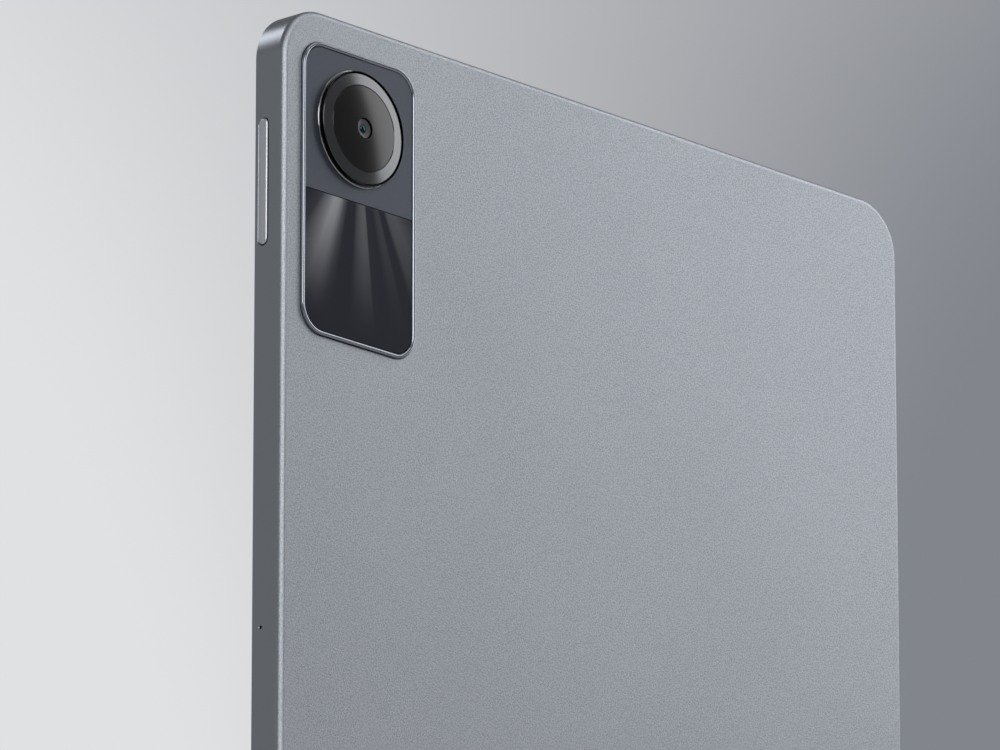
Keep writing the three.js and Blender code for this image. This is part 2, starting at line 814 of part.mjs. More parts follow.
place(
  camera,
  "rear_camera_lens",
  built([
    turnedY(
      [
        [0, moduleBack + FILM],
        [LENS_RADIUS, moduleBack + FILM],
        [LENS_RADIUS, bezelSeat - PART_GAP],
        [LENS_RADIUS * 0.7, bezelSeat - PART_GAP / 2],
        [LENS_RADIUS * 0.5, bezelSeat - PART_GAP],
        [0, bezelSeat - PART_GAP],
      ],
      cameraX,
      cameraZ,
      20,
    ),
  ]),
  blackPlastic,
);
const cameraFoot = cameraZ - CAMERA_BLOCK / 2;
const flexFront = boardFront - 2 * FLEX;
place(
  camera,
  "rear_camera_flex",
  plate(
    ribbon(
      [
        [cameraX, cameraFoot - PART_GAP / 2],
        [cameraX, cameraFoot - CAMERA_FLEX_DROP],
        [mainBoard.right - CAMERA_FLEX_DROP, cameraFoot - CAMERA_FLEX_DROP - CAMERA_FLEX_BEND],
      ],
      CAMERA_FLEX_W,
    ),
    flexFront - FLEX,
    flexFront,
  ),
  polyimide,
);

// ---- Front camera and light sensor, behind the border on the keys' side ----

const frontCameraX = sideX - FRONT_CAMERA_REACH;
const frontBlockFront = ledgeBack + PART_GAP;
const frontBlockBack = backInside - 4 * FLEX;
const frontBlockX = sideX - WALL - PART_GAP / 2 - FRONT_CAMERA_BLOCK / 2;
place(
  camera,
  "front_camera_module",
  box(
    frontBlockX - FRONT_CAMERA_BLOCK / 2,
    frontBlockX + FRONT_CAMERA_BLOCK / 2,
    frontBlockFront,
    frontBlockBack,
    middleZ - FRONT_CAMERA_BLOCK / 2,
    middleZ + FRONT_CAMERA_BLOCK / 2,
  ),
  blackPlastic,
);
place(
  camera,
  "front_camera_lens",
  built([
    turnedY(
      [
        [0, frontBlockFront - FILM],
        [FRONT_LENS_RADIUS, frontBlockFront - FILM],
        [FRONT_LENS_RADIUS, frontBlockFront - FRONT_LENS],
        [FRONT_LENS_RADIUS * 0.6, frontBlockFront - FRONT_LENS],
        [0, frontBlockFront - FRONT_LENS * 0.8],
      ],
      frontCameraX,
      middleZ,
      16,
    ),
  ]),
  blackGlass,
);
const laneX = innerX - CELL_SIDE_ZONE + FRONT_FLEX_LANE;
place(
  camera,
  "front_camera_flex",
  plate(
    ribbon(
      [
        [frontBlockX, middleZ],
        [laneX, middleZ],
        [laneX, mainBoard.bottom + FRONT_FLEX_LAP],
        [mainBoard.right - FRONT_FLEX_LAP, mainBoard.bottom + FRONT_FLEX_LAP + FRONT_FLEX_W],
      ],
      FRONT_FLEX_W,
    ),
    backInside - 2 * FLEX,
    backInside - FLEX,
  ),
  polyimide,
);
place(
  camera,
  "light_sensor",
  built([
    box(
      frontCameraX - SENSOR / 2,
      frontCameraX + SENSOR / 2,
      glassBack + 2 * PART_GAP,
      ledgeBack + PART_GAP,
      middleZ + SENSOR_OFFSET - SENSOR / 2,
      middleZ + SENSOR_OFFSET + SENSOR / 2,
    ),
    box(
      frontCameraX - SENSOR * 0.7,
      frontCameraX + SENSOR,
      ledgeBack + PART_GAP - FIT,
      ledgeBack + 2 * PART_GAP,
      middleZ + SENSOR_OFFSET - 2 * SENSOR,
      middleZ + SENSOR_OFFSET + 2 * SENSOR,
    ),
  ]),
  whitePlastic,
);

// ---- Volume rocker and power key, with their switches on flexible circuits ----

const keys = group();
place(
  keys,
  "volume_rocker",
  onRocker(keyGeometry(ROCKER_L, [-ROCKER_NUB_REACH, ROCKER_NUB_REACH])),
  anodised,
);
place(keys, "volume_up_switch", onRocker(switchGeometry(), ROCKER_NUB_REACH), steel);
place(keys, "volume_down_switch", onRocker(switchGeometry(), -ROCKER_NUB_REACH), steel);
place(keys, "volume_key_flex", onRocker(keyStrip(ROCKER_L)), polyimide);
place(keys, "power_key", onPower(keyGeometry(POWER_L, [0])), anodised);
place(keys, "power_switch", onPower(switchGeometry()), steel);
place(keys, "power_key_flex", onPower(keyStrip(POWER_L)), polyimide);

// ---- Memory-card tray, its seal and its reader ----

const cards = group();
const trayStart = trayFaceIn - FIT;
const pinZ = trayZ + TRAY_FACE_L / 2 - PIN_HOLE * 1.2;
const cardX = trayEnd - TRAY_END_BAR - CARD_L / 2;
place(
  cards,
  "card_tray",
  built(
    [
      barX(
        roundRect(TRAY_FACE_T, TRAY_FACE_L, TRAY_FACE_T / 2, trayY, trayZ),
        -sideX,
        trayFaceIn,
        4,
      ),
      box(
        trayStart,
        trayEnd,
        trayY - TRAY_T / 2,
        trayY + TRAY_T / 2,
        trayZ - TRAY_W / 2,
        trayZ + TRAY_W / 2,
      ),
    ],
    [
      box(
        cardX - CARD_L / 2,
        cardX + CARD_L / 2,
        trayY - TRAY_T,
        trayY + TRAY_T * 0.3,
        trayZ - CARD_W / 2,
        trayZ + CARD_W / 2,
      ),
      barX(circle(PIN_HOLE / 2, trayY, pinZ), -sideX - PAST, trayFaceIn + PAST, HOLE_STEPS),
    ],
  ),
  anodised,
);

const sealInner = roundRect(TRAY_T + 2 * FIT, TRAY_W + 2 * FIT, TRAY_T / 5, trayY, trayZ);
const sealOuter = roundRect(
  TRAY_FACE_T,
  TRAY_FACE_L - 2 * TRAY_GAP,
  TRAY_FACE_T / 3,
  trayY,
  trayZ,
);
sealOuter.holes.push(sealInner);
place(
  cards,
  "card_tray_seal",
  barX(sealOuter, trayFaceIn + FILM, trayFaceIn + FILM + SEAL),
  rubber,
);

const cageStart = trayFaceIn + SEAL + 2 * PART_GAP;
const cageInner = roundRect(
  TRAY_T + 2 * TRAY_GAP,
  TRAY_W + 2 * TRAY_GAP,
  TRAY_GAP,
  trayY,
  trayZ,
);
const cageOuter = roundRect(
  TRAY_T + 2 * (TRAY_GAP + CAGE),
  TRAY_W + 2 * (TRAY_GAP + CAGE),
  TRAY_GAP + CAGE,
  trayY,
  trayZ,
);
cageOuter.holes.push(cageInner);
place(cards, "card_reader", barX(cageOuter, cageStart, trayEnd + PART_GAP), tin);

// ---- USB-C socket and headphone jack ----

const ports = group();
const usbOuter = roundRect(USB_W, USB_T, USB_T / 2, 0, usbY);
const usbInner = roundRect(
  USB_W - 2 * USB_WALL,
  USB_T - 2 * USB_WALL,
  USB_T / 2 - USB_WALL,
  0,
  usbY,
);
usbOuter.holes.push(usbInner);
const usbEnd = USB_MOUTH + USB_DEPTH;
place(ports, "usb_c_shell", barZ(usbOuter, USB_MOUTH, usbEnd, 4), steel);

const tongueTip = USB_MOUTH + TONGUE_SETBACK;
const usbBase = usbEnd - USB_BASE;
place(
  ports,
  "usb_c_tongue",
  built([
    barZ(roundRect(TONGUE_W, TONGUE_T, TONGUE_T * 0.4, 0, usbY), tongueTip, usbBase + FIT, 2),
    barZ(
      roundRect(
        USB_W - 2 * (USB_WALL + FIT),
        USB_T - 2 * (USB_WALL + FIT),
        USB_T / 2 - USB_WALL - FIT,
        0,
        usbY,
      ),
      usbBase,
      usbEnd,
      4,
    ),
  ]),
  blackPlastic,
);

const jackTop = innerTop - FIT;
const jackFront = plateBack + FIT;
const jackBack = backInside - FIT;
const jackShape = roundRect(
  JACK_W,
  jackBack - jackFront,
  JACK_W / 20,
  jackX,
  (jackFront + jackBack) / 2,
);
jackShape.holes.push(circle(JACK_BORE / 2, jackX, jackY));
place(ports, "headphone_jack", barZ(jackShape, jackTop - JACK_DEPTH, jackTop, 10), blackPlastic);

// ---- Speakers and their dust meshes, two behind each short side ----

const sound = group();
const speakerFront = plateBack + PART_GAP / 4;
const speakerBack = backInside - PART_GAP / 4;
for (const [end, wallZ, inward] of [["top", innerTop, -1], ["bottom", innerBottom, 1]]) {
  for (const [side, sign] of [["left", -1], ["right", 1]]) {
    const x = sign * speakerX;
    const meshOuter = wallZ + inward * FIT;
    const meshInner = meshOuter + inward * MESH;
    const meshW = (SPEAKER_HOLES - 1) * SPEAKER_PITCH + SPEAKER_HOLE + 2 * MESH_MARGIN;
    place(
      sound,
      `speaker_mesh_${end}_${side}`,
      barZ(
        roundRect(meshW, SPEAKER_HOLE + 2 * MESH_MARGIN, MESH_MARGIN, x, speakerY),
        Math.min(meshOuter, meshInner),
        Math.max(meshOuter, meshInner),
      ),
      foam,
    );
    const near = meshInner + inward * FIT;
    const centreZ = near + (inward * SPEAKER_D) / 2;
    const outline = (inset) => {
      const radius = 2 * SPEAKER_LID_INSET - inset;
      return roundRect(SPEAKER_W - 2 * inset, SPEAKER_D - 2 * inset, radius, x, centreZ);
    };
    place(
      sound,
      `speaker_${end}_${side}`,
      built([
        plate(outline(0), speakerFront + SPEAKER_LID, speakerBack - SPEAKER_LID),
        plate(outline(SPEAKER_LID_INSET), speakerFront, speakerBack),
      ]),
      blackPlastic,
    );
  }
}

// Microphones: small metal cans on stiffeners, one behind each hole.
place(
  sound,
  "microphone_side",
  box(
    innerX - FIT - MIC_CAN,
    innerX - FIT,
    keyY - MIC_CAN_W / 2,
    keyY + MIC_CAN_W / 2,
    sideMicZ - MIC_CAN_L / 2,
    sideMicZ + MIC_CAN_L / 2,
  ),
  tin,
);
place(
  sound,
  "microphone_top",
  box(
    topMicX - MIC_CAN_L / 2,
    topMicX + MIC_CAN_L / 2,
    keyY - MIC_CAN_W / 2,
    keyY + MIC_CAN_W / 2,
    topMicZ,
    topMicZ + MIC_CAN,
  ),
  tin,
);

// ---- Boards ----

const boards = group();
const mainShape = roundRect(
  mainBoard.right - mainBoard.left,
  BOARD_H,
  BOARD_RADIUS,
  (mainBoard.left + mainBoard.right) / 2,
  mainBoard.top - BOARD_H / 2,
);
for (const [x, z] of mainScrews) mainShape.holes.push(circle(SCREW_HOLE, x, z));
place(boards, "mainboard", plate(mainShape, boardFront, boardBack, 4), circuitBoard);

// Three cans side by side between the screws.
const shieldNames = ["shield_processor", "shield_memory", "shield_power"];
const shieldsLeft = mainBoard.left + 2 * SCREW_EDGE;
const shieldsRight = mainBoard.right - 2 * SCREW_EDGE;
const shieldW = (shieldsRight - shieldsLeft - 2 * SHIELD_GAP) / 3;
const shieldH = BOARD_H - 2 * SCREW_EDGE;
shieldNames.forEach((name, i) => {
  const x = shieldsLeft + shieldW / 2 + i * (shieldW + SHIELD_GAP);
  const z = mainBoard.top - BOARD_H / 2;
  const seat = boardBack + FILM;
  const inside = roundRect(
    shieldW - 2 * SHIELD_SHEET,
    shieldH - 2 * SHIELD_SHEET,
    SHIELD_RADIUS - SHIELD_SHEET,
    x,
    z,
  );
  place(
    boards,
    name,
    built(
      [plate(roundRect(shieldW, shieldH, SHIELD_RADIUS, x, z), seat, seat + SHIELD_T)],
      [plate(inside, seat - PAST, seat + SHIELD_T - SHIELD_SHEET)],
    ),
    tin,
  );
});

// The sub-board is notched round the USB-C socket, and an arm runs out under the card reader.
const notch = USB_W / 2 + PART_GAP;
const notchTop = usbEnd + PART_GAP;
const armBottom = trayZ - SUB_ARM_H / 2;
const subShape = polygon([
  [mainBoard.left, subTop],
  [mainBoard.left, armBottom],
  [-subHalf, armBottom],
  [-subHalf, SUB_BOARD_BOTTOM],
  [-notch, SUB_BOARD_BOTTOM],
  [-notch, notchTop],
  [notch, notchTop],
  [notch, SUB_BOARD_BOTTOM],
  [subHalf, SUB_BOARD_BOTTOM],
  [subHalf, subTop],
]);
for (const [x, z] of subScrews) subShape.holes.push(circle(SCREW_HOLE, x, z));
place(boards, "sub_board", plate(subShape, boardFront, boardBack, 4), circuitBoard);

// Narrower than the sub-board, so that it clears the screw beside it.
place(
  boards,
  "board_flex",
  plate(
    roundRect(
      subHalf - SCREW_EDGE,
      mainBoard.bottom - subTop + 2 * BOARD_FLEX_LAP,
      BOARD_RADIUS,
      0,
      (mainBoard.bottom + subTop) / 2,
    ),
    flexFront - FLEX,
    flexFront,
  ),
  polyimide,
);

screws.forEach(([x, z], i) => {
  const name = i < mainScrews.length ? `mainboard_screw_${i + 1}` : `sub_board_screw_${i - 3}`;
  place(boards, name, screwGeometry(), steel, x, 0, z);
});

// ---- Battery ----

const battery = group();
const cellW = innerX - CELL_SIDE_ZONE - CELL_GAP / 2;
const cellBottom = innerBottom + CELL_BOTTOM_ZONE;
const cellTop = innerTop - CELL_TOP_ZONE;
const cellBack = backInside - FIT;
const cellFront = cellBack - CELL_T;
const round = CELL_ROUNDING;
for (const [side, sign] of [["left", -1], ["right", 1]]) {
  place(
    battery,
    `battery_cell_${side}`,
    soft(
      cellW,
      cellTop - cellBottom,
      CELL_RADIUS,
      sign * (CELL_GAP / 2 + cellW / 2),
      (cellBottom + cellTop) / 2,
      [
        [cellBack, round],
        [cellBack - round * 0.3, round * 0.3],
        [cellBack - round, 0],
        [cellFront + round, 0],
        [cellFront + round * 0.3, round * 0.3],
        [cellFront, round],
      ],
      4,
    ),
    pouch,
  );
}
place(
  battery,
  "battery_board",
  plate(
    roundRect(cellW, BATTERY_BOARD_H, FLEX, 0, cellTop + PART_GAP + BATTERY_BOARD_H / 2),
    boardFront + BOARD_T,
    boardBack + BOARD_T,
  ),
  circuitBoard,
);

// ---- Wireless antenna on its plastic carrier, behind the top edge ----

const antennaLeft = PART_GAP - speakerEdge;
const antennaRight = displayFlexX - 2 * PART_GAP;
const antennaTop = topMicZ - PART_GAP;
place(
  housing,
  "wifi_antenna",
  built([
    plate(
      roundRect(
        antennaRight - antennaLeft,
        ANTENNA_D,
        ANTENNA_D / 5,
        (antennaLeft + antennaRight) / 2,
        antennaTop - ANTENNA_D / 2,
      ),
      backInside - FIT - ANTENNA_T,
      backInside - FIT,
    ),
  ]),
  whitePlastic,
);

export default tablet;
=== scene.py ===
# A slim tablet computer that stands upright, its screen towards -Y and its back towards +Y.
# Pieces come in the order in which it is put together, and lengths are in metres.
import math

import bmesh
import bpy
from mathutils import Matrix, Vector


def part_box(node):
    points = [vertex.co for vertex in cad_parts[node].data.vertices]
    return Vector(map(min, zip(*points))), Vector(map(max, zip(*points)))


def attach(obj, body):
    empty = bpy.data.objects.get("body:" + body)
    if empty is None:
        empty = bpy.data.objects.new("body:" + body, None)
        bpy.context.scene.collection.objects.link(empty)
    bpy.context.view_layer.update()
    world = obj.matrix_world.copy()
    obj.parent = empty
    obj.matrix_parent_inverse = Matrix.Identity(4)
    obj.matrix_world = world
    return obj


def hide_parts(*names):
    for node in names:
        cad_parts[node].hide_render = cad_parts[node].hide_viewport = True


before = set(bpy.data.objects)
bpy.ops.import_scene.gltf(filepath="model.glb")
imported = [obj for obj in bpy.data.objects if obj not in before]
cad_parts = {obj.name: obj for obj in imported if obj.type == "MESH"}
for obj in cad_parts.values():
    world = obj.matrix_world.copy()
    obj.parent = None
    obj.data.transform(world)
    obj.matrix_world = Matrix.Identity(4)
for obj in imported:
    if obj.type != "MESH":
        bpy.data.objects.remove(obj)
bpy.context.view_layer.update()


# ---- Rear housing ----
# One pan of aluminium makes the back and the four sides. It is milled from a plate, blasted with fine
# beads and anodised grey, and everything else is fixed inside it. Its front rim has a bright cut edge.

def mm(value):
    return value / 1000


def middle(node):
    low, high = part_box(node)
    return (low + high) / 2


housing_low, housing_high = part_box("rear_housing")
side = housing_high.x
top = housing_high.z
back = housing_high.y
rim = housing_low.y
housing_middle = middle("rear_housing")
glass_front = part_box("cover_glass")[0].y

CORNER = mm(10)
WALL = mm(1.5)
BACK_WALL = mm(0.7)
BACK_ROUNDING = mm(1.2)
RIM_CHAMFER = mm(0.3)
RIM_LIP = mm(0.65)
FIT = mm(0.05)
KEY_GAP = mm(0.15)
TRAY_GAP = mm(0.1)
MOUTH = mm(0.12)  # small chamfer round every opening
PAST = mm(1)  # cutting forms run past what they cut
KEY_LIP = mm(1.2)  # a key's flange is longer than its cap by this at each end
PLATE_CORNER = mm(5.2)
CAMERA_OPENING = mm(5.4)
JACK_LINE = mm(4.4)  # centre of the headphone socket behind the glass face
JACK_BORE = mm(3.6)
MIC_HOLE = mm(0.6)
SPEAKER_HOLES = 6
SPEAKER_HOLE = mm(1.2)
SPEAKER_PITCH = mm(2.4)
BOSS = mm(2)
SCREW_HOLE = mm(0.9)
CREASE = math.radians(32)  # faces that meet at more than this keep a crisp edge


def rounded(width, height, radius, steps=20):
    """A rounded rectangle round the origin: (arc centre, arc radius, outward normal) for each point.
    The radius is one value, or four, from the first quadrant round."""
    radii = radius if isinstance(radius, tuple) else (radius,) * 4
    points = []
    for quarter, (right, up) in enumerate(((1, 1), (-1, 1), (-1, -1), (1, -1))):
        arc = radii[quarter]
        centre = Vector((right * (width / 2 - arc), up * (height / 2 - arc)))
        for i in range(steps + 1):
            angle = math.pi / 2 * (quarter + i / steps)
            points.append((centre, arc, Vector((math.cos(angle), math.sin(angle)))))
    return points


def ring(axis, centre, shape, depth, inset=0):
    """The shape, drawn in by inset, as points across that axis at that depth along it."""
    points = []
    for arc_centre, arc, normal in shape:
        across, up = arc_centre + normal * (arc - inset)
        if axis == "X":
            points.append((depth, centre.y + across, centre.z + up))
        elif axis == "Y":
            points.append((centre.x + across, depth, centre.z + up))
        else:
            points.append((centre.x + across, centre.y + up, depth))
    return points


def skin(name, rings, closed=False):
    """A surface through rings of points. Its two ends are capped, or joined to each other if closed."""
    form = bmesh.new()
    rows = [[form.verts.new(point) for point in points] for points in rings]
    pairs = list(zip(rows, rows[1:]))
    if closed:
        pairs.append((rows[-1], rows[0]))
    else:
        form.faces.new(rows[0])
        form.faces.new(rows[-1])
    for near, far in pairs:
        for i in range(len(near)):
            j = (i + 1) % len(near)
            form.faces.new((near[i], near[j], far[j], far[i]))
    bmesh.ops.remove_doubles(form, verts=form.verts, dist=mm(0.0005))
    bmesh.ops.recalc_face_normals(form, faces=form.faces)
    mesh = bpy.data.meshes.new(name)
    form.to_mesh(mesh)
    form.free()
    piece = bpy.data.objects.new(name, mesh)
    bpy.context.scene.collection.objects.link(piece)
    return piece


def loft(name, axis, centre, shape, levels, closed=False):
    """A skin through one shape at several levels, each (depth, inset)."""
    return skin(name, [ring(axis, centre, shape, depth, inset) for depth, inset in levels], closed)


def rounding(depth, radius, outward=1, inset=0, steps=6):
    """Levels of a rounded edge, from the straight side to the face at depth, which faces outward."""
    levels = []
    for i in range(steps + 1):
        angle = math.pi / 2 * i / steps
        rise = outward * radius * (1 - math.sin(angle))
        levels.append((depth - rise, inset + radius * (1 - math.cos(angle))))
    return levels


def carve(piece, forms, operation="DIFFERENCE"):
    """Cuts forms out of a piece, or joins them to it, and removes them."""
    for form in forms:
        step = piece.modifiers.new("carve", "BOOLEAN")
        step.operation = operation
        step.solver = "MANIFOLD"
        step.object = form
    graph = bpy.context.evaluated_depsgraph_get()
    mesh = bpy.data.meshes.new_from_object(piece.evaluated_get(graph))
    piece.modifiers.clear()
    piece.data = mesh
    for form in forms:
        bpy.data.objects.remove(form)


def smooth(piece):
    """Smooth shading that stays crisp at edges and flat on large faces."""
    piece.data.shade_smooth()
    piece.data.set_sharp_from_angle(angle=CREASE)
    even = piece.modifiers.new("even_normals", "WEIGHTED_NORMAL")
    even.keep_sharp = True


def fit(piece, material, body, slot, *nodes):
    """Gives a piece its material, the body it moves with and the nodes it stands for.
    The slot, which names its finish, is not used.
    """
    smooth(piece)
    piece.data.materials.clear()
    piece.data.materials.append(material)
    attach(piece, body)
    if nodes:
        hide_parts(*nodes)


def opening(axis, centre, shape, inside, outside, outward):
    """A form that cuts an opening with a chamfered mouth from inside to the face at outside."""
    levels = [
        (inside, 0),
        (outside - outward * MOUTH, 0),
        (outside + outward * PAST, -MOUTH - PAST),
    ]
    return loft("opening", axis, centre, shape, levels)


def round_hole(diameter):
    return rounded(diameter, diameter, diameter / 2, 8)


jack_centre = Vector((middle("headphone_jack").x, glass_front + JACK_LINE, 0))
screws = [f"mainboard_screw_{i}" for i in range(1, 5)]
screws += [f"sub_board_screw_{i}" for i in range(1, 3)]


def housing_mesh():
    outline = rounded(2 * side, top, CORNER, 24)
    levels = [(rim, RIM_CHAMFER), (rim + RIM_CHAMFER, 0)] + rounding(back, BACK_ROUNDING, steps=12)
    piece = loft("housing_pan", "Y", housing_middle, outline, levels)
    back_inside = back - BACK_WALL
    board_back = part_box("mainboard")[1].y
    hollows = []
    for inset, depth in ((RIM_LIP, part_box("front_frame")[1].y + FIT), (WALL, back_inside)):
        shape = rounded(2 * (side - inset), top - 2 * inset, CORNER - inset, 16)
        hollows.append(loft("hollow", "Y", housing_middle, shape, [(rim - PAST, 0), (depth, 0)]))
    carve(piece, hollows)

    bosses = []
    holes = []
    for name in screws:
        levels = [(board_back, 0), (back_inside + BACK_WALL / 2, 0)]
        bosses.append(loft("boss", "Y", middle(name), round_hole(2 * BOSS), levels))
        levels = [(board_back - PAST, 0), (back_inside, 0)]
        holes.append(loft("hole", "Y", middle(name), round_hole(2 * SCREW_HOLE), levels))
    carve(piece, bosses, "UNION")

    low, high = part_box("camera_trim")
    plate = rounded(high.x - low.x + 2 * FIT, high.z - low.z + 2 * FIT, PLATE_CORNER + FIT, 12)
    holes.append(opening("Y", middle("camera_trim"), plate, low.y - FIT, back, 1))
    camera_hole = rounded(2 * CAMERA_OPENING, 2 * CAMERA_OPENING, CAMERA_OPENING, 12)
    levels = [(back_inside - PAST, 0), (back, 0)]
    holes.append(loft("hole", "Y", middle("camera_ring"), camera_hole, levels))

    low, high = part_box("volume_rocker")
    width = high.y - low.y + 2 * KEY_GAP
    length = high.z - low.z + 2 * (KEY_GAP - KEY_LIP)
    slot = rounded(width, length, width / 2, 8)
    holes.append(opening("X", middle("volume_rocker"), slot, side - WALL - PAST, side, 1))
    low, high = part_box("power_key")
    length = high.x - low.x + 2 * (KEY_GAP - KEY_LIP)
    slot = rounded(length, width, width / 2, 8)
    holes.append(opening("Z", middle("power_key"), slot, top - WALL - PAST, top, 1))

    low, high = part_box("usb_c_shell")
    height = high.y - low.y + 2 * FIT
    slot = rounded(high.x - low.x + 2 * FIT, height, height / 2, 8)
    holes.append(opening("Z", middle("usb_c_shell"), slot, WALL + PAST, 0, -1))
    low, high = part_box("card_tray")
    width = high.y - low.y + 2 * TRAY_GAP
    slot = rounded(width, high.z - low.z + 2 * TRAY_GAP, width / 2, 8)
    holes.append(opening("X", middle("card_tray"), slot, -side + WALL + PAST, -side, -1))
    bore = round_hole(JACK_BORE)
    holes.append(opening("Z", jack_centre, bore, top - WALL - PAST, top, 1))
    pin = round_hole(MIC_HOLE)
    holes.append(opening("X", middle("microphone_side"), pin, side - WALL - PAST, side, 1))
    holes.append(opening("Z", middle("microphone_top"), pin, top - WALL - PAST, top, 1))
    for end, inside, outside, outward in (
        ("top", top - WALL - PAST, top, 1),
        ("bottom", WALL + PAST, 0, -1),
    ):
        for hand in ("left", "right"):
            centre = middle(f"speaker_mesh_{end}_{hand}")
            for i in range(SPEAKER_HOLES):
                step = (i - (SPEAKER_HOLES - 1) / 2) * SPEAKER_PITCH
                spot = centre + Vector((step, 0, 0))
                holes.append(opening("Z", spot, round_hole(SPEAKER_HOLE), inside, outside, outward))
    carve(piece, holes)
    return piece


def linear(code):
    """An sRGB hex colour as linear red, green, blue and full alpha."""
    shares = [int(code[i:i + 2], 16) / 255 for i in (1, 3, 5)]
    return tuple(s / 12.92 if s <= 0.04045 else ((s + 0.055) / 1.055) ** 2.4 for s in shares) + (1,)


def node(tree, kind, inputs=None, **settings):
    """Adds a shader node. Each input is given a value, or the output that feeds it."""
    made = tree.nodes.new(kind)
    for name, value in settings.items():
        setattr(made, name, value)
    for name, value in (inputs or {}).items():
        if isinstance(value, bpy.types.NodeSocket):
            tree.links.new(value, made.inputs[name])
        else:
            made.inputs[name].default_value = value
    return made


def new_material(name):
    material = bpy.data.materials.new(name)
    material.use_nodes = True
    material.node_tree.nodes.clear()
    return material, material.node_tree


ANODISED_LIGHT = "#aaaeb5"
ANODISED_DARK = "#868b93"
ANODISED_SIDE = "#959ba3"
GRIT = mm(0.26)  # dimples left by the beads, drawn a little coarser than the real 0.1 mm
PATCH = mm(45)  # slow drift of the dye from place to place


def anodised_aluminium():
    """Blasted, anodised aluminium: a satin grey metal with a fine light and dark grain. The sides are
    milled after blasting, so they are smoother and their grain is nearly gone."""
    material, tree = new_material("anodised_aluminium")
    place = node(tree, "ShaderNodeTexCoord").outputs["Object"]
    depth = node(tree, "ShaderNodeSeparateXYZ", {0: place}).outputs["Y"]
    blasted = node(
        tree,
        "ShaderNodeMapRange",
        {"Value": depth, "From Min": back - BACK_ROUNDING, "From Max": back - BACK_ROUNDING / 6},
    ).outputs["Result"]
    grit = node(tree, "ShaderNodeTexNoise", {"Vector": place, "Scale": 1 / GRIT, "Detail": 2})
    grain = node(
        tree, "ShaderNodeMapRange", {"Value": grit.outputs["Fac"], "From Min": 0.32, "From Max": 0.68}
    ).outputs["Result"]
    patch = node(tree, "ShaderNodeTexNoise", {"Vector": place, "Scale": 1 / PATCH}).outputs["Fac"]
    drift = node(tree, "ShaderNodeMath", {0: patch, 1: 0.25}, operation="MULTIPLY").outputs[0]
    tone = node(
        tree, "ShaderNodeMath", {0: grain, 1: drift}, operation="ADD", use_clamp=True
    ).outputs[0]
    speckled = node(
        tree,
        "ShaderNodeMix",
        {"Factor": tone, "A": linear(ANODISED_DARK), "B": linear(ANODISED_LIGHT)},
        data_type="RGBA",
    )
    colour = node(
        tree,
        "ShaderNodeMix",
        {"Factor": blasted, "A": linear(ANODISED_SIDE), "B": speckled.outputs["Result"]},
        data_type="RGBA",
    )
    roughness = node(
        tree, "ShaderNodeMapRange", {"Value": blasted, "To Min": 0.3, "To Max": 0.46}
    ).outputs["Result"]
    height = node(tree, "ShaderNodeMath", {0: grain, 1: blasted}, operation="MULTIPLY").outputs[0]
    bump = node(tree, "ShaderNodeBump", {"Height": height, "Strength": 0.35, "Distance": mm(0.03)})
    shader = node(
        tree,
        "ShaderNodeBsdfPrincipled",
        {
            "Base Color": colour.outputs["Result"],
            "Metallic": 1,
            "Roughness": roughness,
            "Normal": bump.outputs["Normal"],
        },
    )
    node(tree, "ShaderNodeOutputMaterial", {"Surface": shader.outputs[0]})
    return material


aluminium = anodised_aluminium()
fit(housing_mesh(), aluminium, "tablet", "anodised_aluminium", "rear_housing")


# ---- Volume rocker and power key ----
# Two milled aluminium bars that stand a little out of the sides. They are put in from inside, where a
# longer flange holds them, and short feet behind each one press on its switches.

KEY_PROUD = mm(0.35)
KEY_EDGE = mm(0.34)
KEY_FLANGE = mm(0.5)
KEY_FOOT = mm(0.7)
FOOT_CHAMFER = mm(0.1)
FOOT_REACH = mm(7)  # from the rocker's middle to each of its feet
KEY_CROWN = mm(0.05)
CROWN_INSET = 0.42  # share of the width by which the crown's top is drawn in


def key_mesh(name, axis, face):
    """A key that comes out through the face along axis: cap, flange, and feet inside."""
    low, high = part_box(name)
    centre = (low + high) / 2
    width = high.y - low.y
    length = high.z - low.z if axis == "X" else high.x - low.x
    cap_length = length - 2 * KEY_LIP
    flange_top = face - WALL - 2 * KEY_GAP
    flange_bottom = flange_top - KEY_FLANGE
    crown = face + KEY_PROUD

    def bar(long, levels):
        size = (width, long) if axis == "X" else (long, width)
        return loft(name, axis, centre, rounded(*size, width / 2, 10), levels)

    levels = [(flange_bottom + FIT, 0)] + rounding(crown - KEY_CROWN, KEY_EDGE, steps=5)
    levels.append((crown, width * CROWN_INSET))
    piece = bar(cap_length, levels)
    joined = [bar(length, [(flange_bottom, 0), (flange_top, 0)])]
    spots = (-FOOT_REACH, FOOT_REACH) if name == "volume_rocker" else (0,)
    inner_end = low.x if axis == "X" else low.z
    for step in spots:
        spot = centre + Vector((0, 0, step) if axis == "X" else (step, 0, 0))
        levels = [(inner_end, FOOT_CHAMFER), (inner_end + FOOT_CHAMFER, 0), (flange_bottom + FIT, 0)]
        joined.append(loft("foot", axis, spot, round_hole(2 * KEY_FOOT), levels))
    carve(piece, joined, "UNION")
    return piece


# Painted light: the keys' tone is lighter than the housing's to stand for the light on their faces.
KEY_PAINTED_LIGHT_TONE = "#cdd1d7"
KEY_GRAIN = mm(0.3)


